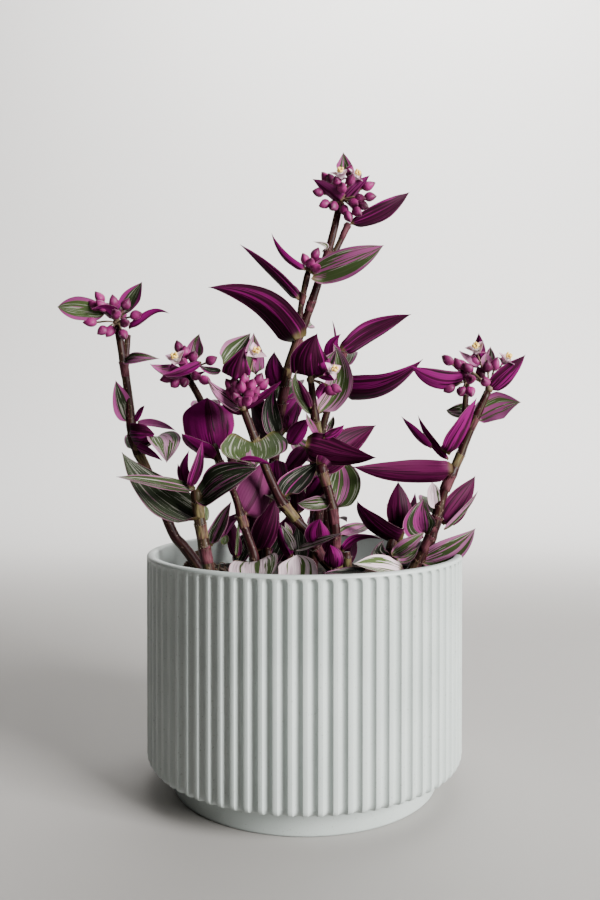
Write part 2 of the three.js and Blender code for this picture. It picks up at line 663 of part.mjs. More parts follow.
function barkChips() {
  const draw = seededDraw(11);
  return Array.from({ length: chipCount }, () => {
    const turn = 2 * Math.PI * draw();
    const radius = chipReach * Math.sqrt(0.06 + 0.94 * draw());
    const [x, y] = [radius * Math.cos(turn), radius * Math.sin(turn)];
    const size = 0.7 + 0.5 * draw();
    const chip = new THREE.BoxGeometry(...chipSize.map((value) => value * size));
    chip.rotateX(chipTilt * (draw() - 0.5));
    chip.rotateY(chipTilt * (draw() - 0.5));
    chip.rotateZ(Math.PI * draw());
    chip.translate(x, y, soilTop(x, y) + chipLift);
    return solidOfGeometry(chip);
  });
}

// Each stem goes straight down into a plain hole in the soil.
function rootOf(stem) {
  const [x, y] = stem.paths[0][0];
  return [x, y, soilHeight - rootDepth];
}

function stemSolid(stem) {
  const [thickFoot, thickTop] = stem.thick;
  const pieces = stem.paths.map((path, i) => {
    const whole = i === 0 ? [rootOf(stem), ...path] : path;
    const [foot, end] = i === 0 ? [thickFoot, thickTop] : [thickTop * branchFoot, thickTop * branchEnd];
    return tube(whole, foot, end, stemSides);
  });
  for (const leaf of stem.leaves) {
    const base = placeAt(stem.paths[leaf.on], leaf.at);
    pieces.push(blade(base, leaf, stationsFor(leaf.wide), thickTop * leafStart));
  }
  return joined(pieces);
}

function holeOf(stem) {
  const [x, y, z] = rootOf(stem);
  const [, second] = stem.paths[0];
  const radius = stem.thick[0] + seatGap + holeSlack;
  const first = stem.paths[0][0];
  const above = first.map((value, k) => value + (second[k] - value) * 0.9);
  return tube([[x, y, z - seatGap], first, above], radius, radius, stemSides);
}

// A bud is a pointed egg on a thin stalk, whose root is sunk in the core.
const budProfile = [[-1, stalkRadius], [0, stalkRadius], [0.42, budWidth / 2], [1, 0.35]];

function budSolid(centre, place) {
  const out = new THREE.Vector3(...place);
  const direction = out.clone().normalize();
  const across = new THREE.Vector3(0.3, 0.1, 1).cross(direction).normalize();
  const up = direction.clone().cross(across);
  const foot = out.length() - budLength / 2;
  const rings = budProfile.map(([part, radius]) => {
    const reach = part < 0 ? rootInCore : foot + part * budLength;
    return Array.from({ length: budSides }, (_, k) => {
      const turn = 2 * Math.PI * k / budSides;
      return centre.clone()
        .addScaledVector(direction, reach)
        .addScaledVector(across, radius * Math.cos(turn))
        .addScaledVector(up, radius * Math.sin(turn))
        .toArray();
    });
  });
  return solidOfRings(rings);
}

// An open flower is a shallow cup of three petals on a thin stalk, in one skin.
function flowerSolid(centre, flower) {
  const out = new THREE.Vector3(...flower.at);
  const look = new THREE.Vector3(...flower.look).normalize();
  const across = new THREE.Vector3(0, 0, 1).cross(look).normalize();
  const up = look.clone().cross(across);
  const root = centre.clone().addScaledVector(out.clone().normalize(), rootInCore);
  const eye = centre.clone().add(out);
  const petalRing = (point, rise, tipRadius, notchRadius) => Array.from({ length: 6 }, (_, k) => {
    const turn = Math.PI * k / 3 + Math.PI / 2;
    const radius = k % 2 === 0 ? tipRadius : notchRadius;
    return point.clone()
      .addScaledVector(across, radius * Math.cos(turn))
      .addScaledVector(up, radius * Math.sin(turn))
      .addScaledVector(look, rise)
      .toArray();
  });
  return solidOfRings([
    petalRing(root, 0, stalkRadius, stalkRadius),
    petalRing(eye, 0, stalkRadius, stalkRadius),
    petalRing(eye, petalRise, petalLength, petalNotch),
    petalRing(eye, petalRise + bladeThickness, petalLength, petalNotch),
    petalRing(eye, bladeThickness, stalkRadius, stalkRadius),
  ]);
}

// The middle of a head's core lies just past the end of its path, clear of it by the seat's gap.
function middleOf(head) {
  const path = stems.find((stem) => stem.name === head.stem).paths[head.on];
  const [before, end] = path.slice(-2).map((place) => new THREE.Vector3(...place));
  return end.clone().addScaledVector(end.clone().sub(before).normalize(), coreRadius + seatGap);
}

function headSolid(head) {
  const centre = middleOf(head);
  const core = new THREE.SphereGeometry(coreRadius, 5, 3);
  core.translate(...centre.toArray());
  const pieces = [solidOfGeometry(core)];
  for (const bract of head.bracts) {
    const tip = centre.clone().add(new THREE.Vector3(...bract.tip)).toArray();
    pieces.push(blade(centre.toArray(), { ...bract, tip }, stationsFor(bract.wide), rootInCore));
  }
  head.buds.forEach((place) => pieces.push(budSolid(centre, place)));
  head.flowers.forEach((flower) => pieces.push(flowerSolid(centre, flower)));
  return joined(pieces);
}

const group = new THREE.Group();
group.add(meshOf("pot", potSolid(), glaze));
let soil = joined([soilSolid(), ...barkChips()]);
stems.forEach((stem) => {
  soil = soil.subtract(holeOf(stem));
});
group.add(meshOf("soil", soil, earth));
stems.forEach((stem) => group.add(meshOf(stem.name, stemSolid(stem), leafy)));
heads.forEach((head) => group.add(meshOf(head.name, headSolid(head), flowery)));

export default group;
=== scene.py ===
"""A potted tradescantia: a fluted ceramic pot, its soil, striped leaves, stems and flowers."""

import math
import random
from collections import namedtuple

import bpy
import numpy as np
from mathutils import Euler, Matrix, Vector


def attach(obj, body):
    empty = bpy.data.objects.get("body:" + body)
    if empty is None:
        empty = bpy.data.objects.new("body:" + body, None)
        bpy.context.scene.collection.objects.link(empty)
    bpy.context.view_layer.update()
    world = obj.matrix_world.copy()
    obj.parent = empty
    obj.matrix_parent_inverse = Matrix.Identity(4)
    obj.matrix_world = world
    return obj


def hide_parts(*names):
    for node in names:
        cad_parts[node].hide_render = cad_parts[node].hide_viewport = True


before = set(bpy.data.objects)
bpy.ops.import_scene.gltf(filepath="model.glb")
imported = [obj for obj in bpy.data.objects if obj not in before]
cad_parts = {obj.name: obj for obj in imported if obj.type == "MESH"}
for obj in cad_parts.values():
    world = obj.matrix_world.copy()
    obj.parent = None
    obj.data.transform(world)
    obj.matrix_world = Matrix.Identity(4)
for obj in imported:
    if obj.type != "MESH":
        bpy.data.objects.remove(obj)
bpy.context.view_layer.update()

# The camera stands level with the middle of the plant, just under half a metre in front of the
# pot's axis. It looks a little down, and shows the whole pot and plant in an upright frame.
camera_data = bpy.data.cameras.new("camera")
camera_data.lens = 31.94
camera_data.sensor_width = 36.0
camera_data.clip_start = 0.01
camera = bpy.data.objects.new("camera", camera_data)
camera.location = (-0.0025, -0.4639, 0.1937)
camera.rotation_euler = (math.radians(90 - 0.61), 0, 0)
bpy.context.scene.collection.objects.link(camera)
bpy.context.scene.camera = camera

# The floor is one pale sheet that sweeps up behind the pot into a backdrop.
# It is not part of the plant.
floor_front = -3000
floor_bend = 900
bend_radius = 500
backdrop_height = 3000
floor_side = 3500
quarter_turn = 1.57


class Paint:
    """A node's socket. Sums on it add Math nodes, and make() adds any other node."""

    def __init__(self, tree, socket=None):
        self.tree = tree
        self.socket = socket

    def make(self, kind, settings, sockets, output=0):
        node = self.tree.nodes.new(kind)
        for name, value in settings.items():
            setattr(node, name, value)
        for name, value in sockets.items():
            if isinstance(value, Paint):
                self.tree.links.new(value.socket, node.inputs[name])
            else:
                node.inputs[name].default_value = value
        return Paint(self.tree, node.outputs[output])

    def maths(self, operation, first, second=0.0):
        return self.make("ShaderNodeMath", {"operation": operation}, {0: first, 1: second})

    def __add__(self, other):
        return self.maths("ADD", self, other)

    __radd__ = __add__

    def __sub__(self, other):
        return self.maths("SUBTRACT", self, other)

    def __rsub__(self, other):
        return self.maths("SUBTRACT", other, self)

    def __mul__(self, other):
        return self.maths("MULTIPLY", self, other)

    __rmul__ = __mul__

    def __abs__(self):
        return self.maths("ABSOLUTE", self)

    def most(self, other):
        return self.maths("MAXIMUM", self, other)

    def rise(self, low, high):
        """0 below low, 1 above high, and a smooth step between them."""
        sockets = {"Value": self, "From Min": low, "From Max": high}
        return self.make("ShaderNodeMapRange", {"interpolation_type": "SMOOTHSTEP"}, sockets)

    def colours(self, low, high):
        """The colour low where this is 0, and high where it is 1."""
        low, high = [end if isinstance(end, Paint) else (*end, 1.0) for end in (low, high)]
        return self.make("ShaderNodeMix", {"data_type": "RGBA"}, {0: self, 6: low, 7: high}, 2)

    def noise(self, scale, detail):
        """Soft noise over places."""
        return self.make("ShaderNodeTexNoise", {}, {"Vector": self, "Scale": scale, "Detail": detail})

    def spot(self):
        """The place on the piece itself, in metres."""
        return self.make("ShaderNodeTexCoord", {}, {}, "Object")

    def note(self, name):
        """A vector that the mesh carries at each corner."""
        return self.make("ShaderNodeAttribute", {"attribute_name": name}, {}, "Vector")

    def parts(self):
        """The three numbers of a vector."""
        split = self.make("ShaderNodeSeparateXYZ", {}, {"Vector": self}).socket.node
        return [Paint(self.tree, output) for output in split.outputs]


def finish(name, roughness=0.5, **fixed):
    """A material with its Principled shader. fixed holds the sockets that are the same all over."""
    material = bpy.data.materials.new(name)
    material.use_nodes = True
    shader = material.node_tree.nodes["Principled BSDF"]
    shader.inputs["Roughness"].default_value = roughness
    for socket, value in fixed.items():
        shader.inputs[socket.replace("_", " ")].default_value = value
    return material, Paint(material.node_tree), shader


def wire(value, shader, socket):
    value.tree.links.new(value.socket, shader.inputs[socket])


def mesh_piece(name, corners, faces, material, notes=None):
    """A smooth mesh object. corners are in millimetres, and notes hold vectors for its material."""
    mesh = bpy.data.meshes.new(name)
    mesh.from_pydata((np.asarray(corners, float) / 1000).tolist(), [], faces)
    for note, values in (notes or {}).items():
        layer = mesh.attributes.new(note, "FLOAT_VECTOR", "POINT")
        layer.data.foreach_set("vector", np.asarray(values, np.float32).ravel())
    mesh.materials.append(material)
    mesh.shade_smooth()
    piece = bpy.data.objects.new(name, mesh)
    bpy.context.scene.collection.objects.link(piece)
    return piece


def strips(rows, columns, closed=False):
    """The faces between rows of corners. closed joins each row's end to its beginning."""
    faces = []
    for row in range(rows - 1):
        for i in range(columns if closed else columns - 1):
            a = row * columns + i
            b = row * columns + (i + 1) % columns
            faces.append((a, b, b + columns, a + columns))
    return faces


sweep_profile = [(floor_front, 0), (floor_bend, 0)]
sweep_profile += [(floor_bend + bend_radius * math.sin(a), bend_radius - bend_radius * math.cos(a))
                  for a in np.linspace(0.1, quarter_turn, 14)]
sweep_profile.append((floor_bend + bend_radius, backdrop_height))
sweep = [(x, y, z) for y, z in sweep_profile for x in (-floor_side, floor_side)]
plain, paint, shader = finish("plain_floor", roughness=0.7)
cloud = paint.spot().noise(1.5, 3.0)
back = paint.spot().parts()[1]
near = cloud.colours((0.30, 0.29, 0.28), (0.32, 0.31, 0.30))
wire(back.rise(0.3, 1.3).colours(near, (0.90, 0.89, 0.88)), shader, "Base Color")
floor = mesh_piece("floor", sweep, strips(len(sweep_profile), 2), plain)

# A large soft window stands at the front right, and a weak one fills from the left. One light
# hangs above, and one brightens the backdrop.


def soft_light(name, place, size, power, colour, target=(0, 0, 0.16)):
    data = bpy.data.lights.new(name, "AREA")
    data.shape = "RECTANGLE"
    data.size, data.size_y = size
    data.energy = power
    data.color = colour
    light = bpy.data.objects.new(name, data)
    light.location = place
    aim = Vector(target) - Vector(place)
    light.rotation_euler = aim.to_track_quat("-Z", "Y").to_euler()
    bpy.context.scene.collection.objects.link(light)


soft_light("window", (1.43, -1.1, 0.8), (0.8, 1.0), 143, (1.0, 0.985, 0.96))
soft_light("fill", (-1.6, -1.2, 0.7), (1.2, 1.2), 0.15, (1.0, 0.90, 0.80))
soft_light("top", (0.4, 0.2, 2.0), (1.2, 1.2), 1.5, (1.0, 1.0, 1.0))
soft_light("backdrop", (0.3, 0.75, 1.7), (1.6, 0.3), 30, (1.0, 0.99, 0.97), (0.2, 1.5, 0.4))
world = bpy.data.worlds.new("room")
world.use_nodes = True
world.node_tree.nodes["Background"].inputs["Color"].default_value = (1.0, 0.97, 0.93, 1.0)
world.node_tree.nodes["Background"].inputs["Strength"].default_value = 0.02
bpy.context.scene.world = world

# The pot is one piece of stoneware with a soft grey-green glaze. Upright flutes with round tops are
# pressed round its wall under a plain collar, and run over its lower edge. It stands on a foot.
pot_height = 130.7
body_radius = 90.0
foot_radius = 76.0
foot_height = 15.3
corner = 4.0
inner_radius = 85.3
shoulder_height = 28
floor_radius = 66
floor_thick = 8
lip = 1.6
flute_count = 78
flute_depth = 2.0
groove = 2.45
arch_start = 126.4
ridge_crown = 0.12
pitch_places = (-0.5, -0.43, -0.375)
groove_places = (-1.0, -0.93, -0.8, -0.55, -0.25, 0.0, 0.25, 0.55, 0.8, 0.93, 1.0)
wall_heights = (45, 75, 105, arch_start)
arch_turns = (0.25, 0.5, 0.75, 1.0, 1.2, 1.35, 1.47)


def round_row(radius, height, turns):
    return [(radius * math.cos(t), radius * math.sin(t), height) for t in turns]


def capped(rows, sides):
    """The faces of rings of corners, with a cap at each end."""
    last = (rows - 1) * sides
    caps = [tuple(range(sides))[::-1], tuple(range(last, last + sides))]
    return strips(rows, sides, closed=True) + caps


def fluted_row(radius, height, open_width, depth):
    """One row of corners round the wall, whose grooves are open_width wide on each side."""
    pitch = 2 * math.pi * body_radius / flute_count
    row = []
    for flute in range(flute_count):
        middle = 2 * math.pi * (flute + 0.5) / flute_count - math.pi / 2
        places = [(share * pitch, 0.0) for share in pitch_places]
        places += [(share * open_width, depth * max(0.0, 1 - share * share) ** 0.9)
                   for share in groove_places]
        places += [(-share * pitch, 0.0) for share in reversed(pitch_places[1:])]
        for along, sunk in places:
            proud = ridge_crown * max(0.0, abs(along) / pitch - 0.4) / 0.1 if depth else ridge_crown
            turn = middle + along / body_radius
            reach = radius - sunk - ridge_crown + proud
            row.append((reach * math.cos(turn), reach * math.sin(turn), height))
    return row


def bump(height, strength, distance, shader):
    """Fine relief from a height that changes over the surface. distance is in metres."""
    sockets = {"Height": height, "Strength": strength, "Distance": distance}
    wire(height.make("ShaderNodeBump", {}, sockets), shader, "Normal")


rows = []
for angle in np.linspace(0, quarter_turn, 5):
    reach = body_radius - corner + corner * math.sin(angle)
    height = foot_height + corner - corner * math.cos(angle)
    rows.append(fluted_row(reach, height, groove, flute_depth * (0.5 + 0.5 * math.sin(angle))))
for height in wall_heights:
    rows.append(fluted_row(body_radius, height, groove, flute_depth))
for angle in arch_turns:
    height = arch_start + groove * math.sin(angle)
    depth = flute_depth * math.cos(angle) ** 0.7
    rows.append(fluted_row(body_radius, height, groove * math.cos(angle), depth))
rows.append(fluted_row(body_radius, arch_start + groove + 0.15, 0.2, 0))
turns = np.arctan2([y for x, y, z in rows[0]], [x for x, y, z in rows[0]])
foot_rows = [(0.5, 0), (foot_radius - 1.6, 0), (foot_radius - 0.5, 0.4), (foot_radius, 1.4),
             (foot_radius, foot_height - 1.0), (foot_radius + 0.4, foot_height)]
lip_rows = [(body_radius - lip * (1 - math.cos(a)), pot_height - lip * (1 - math.sin(a)))
            for a in np.linspace(0, quarter_turn, 5)]
inside = [(inner_radius + lip * (1 - math.cos(a)), pot_height - lip * (1 - math.sin(a)))
          for a in np.linspace(quarter_turn, 0, 4)]
inside += [(inner_radius, 60), (inner_radius, shoulder_height), (inner_radius - 3, 2 * floor_thick),
           (floor_radius, floor_thick), (0.5, floor_thick)]
pot_rows = [round_row(r, z, turns) for r, z in foot_rows] + rows
pot_rows += [round_row(r, z, turns) for r, z in lip_rows + inside]
pot_corners = [place for row in pot_rows for place in row]

glaze, paint, shader = finish("grey_green_glaze", roughness=0.42, Specular_IOR_Level=0.45)
cloud = paint.spot().noise(22.0, 4.0)
speck = paint.spot().noise(900.0, 2.0)
tone = cloud.rise(0.3, 0.7).colours((0.385, 0.43, 0.415), (0.43, 0.475, 0.46))
wire(speck.rise(0.64, 0.72).colours(tone, (0.32, 0.35, 0.335)), shader, "Base Color")
wire(0.36 + cloud * 0.16, shader, "Roughness")
bump(speck * 0.4 + cloud, 0.12, 0.0006, shader)
pot = mesh_piece("pot_glazed", pot_corners, capped(len(pot_rows), len(turns)), glaze)
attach(pot, "root")
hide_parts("pot")

# The soil is dark potting mix with crumbs, bark and dry leaf on top. It fills the pot to just
# under the collar, and is heaped a little at the left.
soil_height = 112.0
soil_radius = 84.7
soil_gap = 0.3
soil_sides = 160
soil_turns = np.linspace(0, 2 * math.pi, soil_sides, endpoint=False)
surface_reaches = [soil_radius, 84, 82.5] + [80 - 1.6 * i for i in range(50)]
draw = random.Random(4)
crumb_waves = [(draw.uniform(0.3, 1.6), draw.uniform(0.3, 1.6), draw.uniform(0, 6)) for _ in range(9)]


def soil_top(x, y):
    """The height of the soil: a low heap at the left, and slow waves."""
    heap = 5 * math.exp(-((x + 52) ** 2 + (y - 6) ** 2) / 420)
    return soil_height + heap + 1.1 * math.sin(x / 9 + 1) * math.cos(y / 11) + 0.8 * math.sin((x - y) / 17)


def crumbly(x, y):
    """The same height, with its crumbs."""
    total = sum(math.sin(a * x + phase) * math.sin(b * y - phase) for a, b, phase in crumb_waves)
    return soil_top(x, y) + 0.16 * total


rings = [round_row(floor_radius - soil_gap, floor_thick + soil_gap, soil_turns),
         round_row(soil_radius, shoulder_height + soil_gap, soil_turns)]
for reach in surface_reaches:
    rings.append([(x, y, crumbly(x, y)) for x, y, z in round_row(reach, 0, soil_turns)])
soil_corners = [place for ring in rings for place in ring]
earth, paint, shader = finish("potting_soil", roughness=0.95)
clod = paint.spot().noise(260.0, 6.0)
wire(clod.rise(0.35, 0.7).colours((0.005, 0.0035, 0.003), (0.036, 0.022, 0.014)), shader, "Base Color")
bump(clod, 0.9, 0.002, shader)
soil = mesh_piece("soil_bed", soil_corners, capped(len(rings), soil_sides), earth)
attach(soil, "root")
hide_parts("soil")

# Bits of bark and fibre lie sunk in the soil, most of the small ones in the heap at the left.
# The seven large chips lie where the packed soil has them.
chip_count = 7
chip_size = (9.0, 5.0, 2.2)
chip_reach = 74.0
bit_count = 900
bit_heap_x = -54
bit_spread = 13
litter_reach = 81
heap_count = 420
heap_x, heap_y = -63, 3
heap_height = 10
whole_turn = 6.283
box_faces = [(0, 2, 3, 1), (4, 5, 7, 6), (0, 1, 5, 4), (2, 6, 7, 3), (0, 4, 6, 2), (1, 3, 7, 5)]


def chip_corners(centre, size, turn, jitter):
    """A rough chip: a box with its corners shifted, turned, and set down at centre."""
    corners = []
    for i in range(8):
        signs = ((i & 1) * 2 - 1, (i >> 1 & 1) * 2 - 1, (i >> 2 & 1) * 2 - 1)
        place = Vector([sign * side / 2 * draw.uniform(1 - jitter, 1 + jitter)
                        for sign, side in zip(signs, size)])
        place.rotate(Euler(turn))
        corners.append(place + Vector(centre))
    return corners


class Heap:
    """The corners, faces and notes of many small parts that make one piece."""

    def __init__(self):
        self.corners = []
        self.faces = []
        self.notes = {}

    def add(self, corners, faces, **notes):
        start = len(self.corners)
        self.corners.extend(tuple(place) for place in corners)
        self.faces.extend(tuple(start + i for i in face) for face in faces)
        for name, values in notes.items():
            values = np.asarray(values, float)
            if values.ndim == 1:
                values = np.tile(values, (len(corners), 1))
            self.notes.setdefault(name, []).extend(values.tolist())

    def piece(self, name, material, node, slot):
        made = mesh_piece(name, self.corners, self.faces, material, self.notes)
        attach(made, "root")
        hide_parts(node)
        return made


packed_state = 11


def packed_draw():
    """The same draws that place the packed soil's own chips."""
    global packed_state
    packed_state = (packed_state * 1664525 + 1013904223) % 4294967296
    return packed_state / 4294967296


litter = Heap()
for _ in range(chip_count):
    turn = 2 * math.pi * packed_draw()
    reach = chip_reach * math.sqrt(0.06 + 0.94 * packed_draw())
    scale = 0.7 + 0.5 * packed_draw()
    tilt = (0.5 * (packed_draw() - 0.5), 0.5 * (packed_draw() - 0.5), math.pi * packed_draw())
    x, y = reach * math.cos(turn), reach * math.sin(turn)
    corners = chip_corners((x, y, soil_top(x, y) + 0.2), [side * scale for side in chip_size], tilt, 0.12)
    litter.add(corners, box_faces, crumb=(draw.random(), 0.6, 0))
for _ in range(bit_count):
    if draw.random() < 0.3:
        x, y = draw.gauss(bit_heap_x, bit_spread), draw.gauss(0, bit_spread)
    else:
        turn, reach = draw.uniform(0, whole_turn), (litter_reach + 1) * math.sqrt(draw.random())
        x, y = reach * math.cos(turn), reach * math.sin(turn)
    if math.hypot(x, y) > litter_reach:
        continue
    long = draw.uniform(0.8, 2.2) if draw.random() < 0.8 else draw.uniform(2.5, 6.5)
    size = (long, long * draw.uniform(0.25, 0.8), long * draw.uniform(0.12, 0.45))
    tilt = (draw.gauss(0, 0.35), draw.gauss(0, 0.35), draw.uniform(0, whole_turn))
    corners = chip_corners((x, y, crumbly(x, y) + size[2] * 0.25), size, tilt, 0.3)
    litter.add(corners, box_faces, crumb=(draw.random(), draw.random(), 0))
for _ in range(heap_count):
    out, turn = abs(draw.gauss(0, 7)), draw.uniform(0, whole_turn)
    x, y = heap_x + out * math.cos(turn), heap_y + out * math.sin(turn)
    long = draw.uniform(2.0, 5.5)
    size = (long, long * draw.uniform(0.3, 0.7), long * draw.uniform(0.15, 0.4))
    tilt = (draw.gauss(0, 0.6), draw.gauss(0, 0.6), draw.uniform(0, whole_turn))
    z = soil_top(x, y) + (1 - draw.random() ** 2) * heap_height * math.exp(-(out / 10) ** 2)
    corners = chip_corners((x, y, z), size, tilt, 0.3)
    litter.add(corners, box_faces, crumb=(draw.uniform(0.3, 1), draw.random(), 0))
bark, paint, shader = finish("bark_bits", roughness=0.9)
shade = paint.note("crumb").parts()[0]
grain = paint.spot().noise(700.0, 4.0)
brown = shade.colours((0.008, 0.005, 0.004), (0.075, 0.034, 0.020))
wire((grain.rise(0.35, 0.7) * 0.4).colours(brown, (0.11, 0.07, 0.042)), shader, "Base Color")
bump(grain, 0.7, 0.0008, shader)
bits = litter.piece("soil_litter", bark, "soil", "soil")
for face in bits.data.polygons:
    face.use_smooth = False

# The plant: each stem stands in the soil and carries its own leaves. Stems are juicy, brown-purple
# to olive, with a pale sheath at each node. A leaf is a folded, pointed blade: striped green, white
# and pink above, and magenta to dark purple below.
to_back = (0.1, 0.9, 0.3)
to_front = (0, -0.9, 0.4)
zero = (0, 0, 0)

# A leaf grows from its stem at the height "at". It has a tip and a width, the way its upper side
# looks, and the arch of its middle. Then come how pink, pale and dark it is, how wide its rosy
# margin is, how far its lobes reach back, its fold and cup in degrees, how wide it is at its root,
# how blunt its point is, its S-bend, how far its middle bows aside, where along it the belly is,
# how far its foot stands off the stem, and which of the stem's paths it grows on.
Leaf = namedtuple("Leaf", "at tip wide face arch pink pale dark margin lobe fold cup root point bend bow "
                  "belly foot on",
                  defaults=(0.3, 0, 0.6, 0.15, 0, 12, 14, 0.35, 1.8, 0, zero, 0.36, zero, 0))
Stem = namedtuple("Stem", "name thick paths leaves green", defaults=(0.3,))

# Sizes are in millimetres, and the angle by which a leaf's base clasps the stem is in degrees. The
# thinnest end and the edge's wave are shares of a leaf's width, and the two reaches of its length.
# A sheath's profile goes up it by shares of its length, with how far each ring stands off the stem.
root_depth = 14.0
stem_end = 1.2
thinnest_leaf = 0.012
edge_wave = 0.04
clasp_angle = 50
clasp_reach = 0.12
lobe_reach = 0.4
sheath_spacing = 9.0
sheath_sides = 18
sheath_profile = [(0, -0.5), (0.03, 0.1), (0.3, 0.2), (0.75, 0.25), (0.95, 0.4), (1, 0.6), (1.0, 0.3),
                  (0.9, -0.4)]
sheath_rim = 5
stem_kind, sheath_kind, hair_kind = range(3)

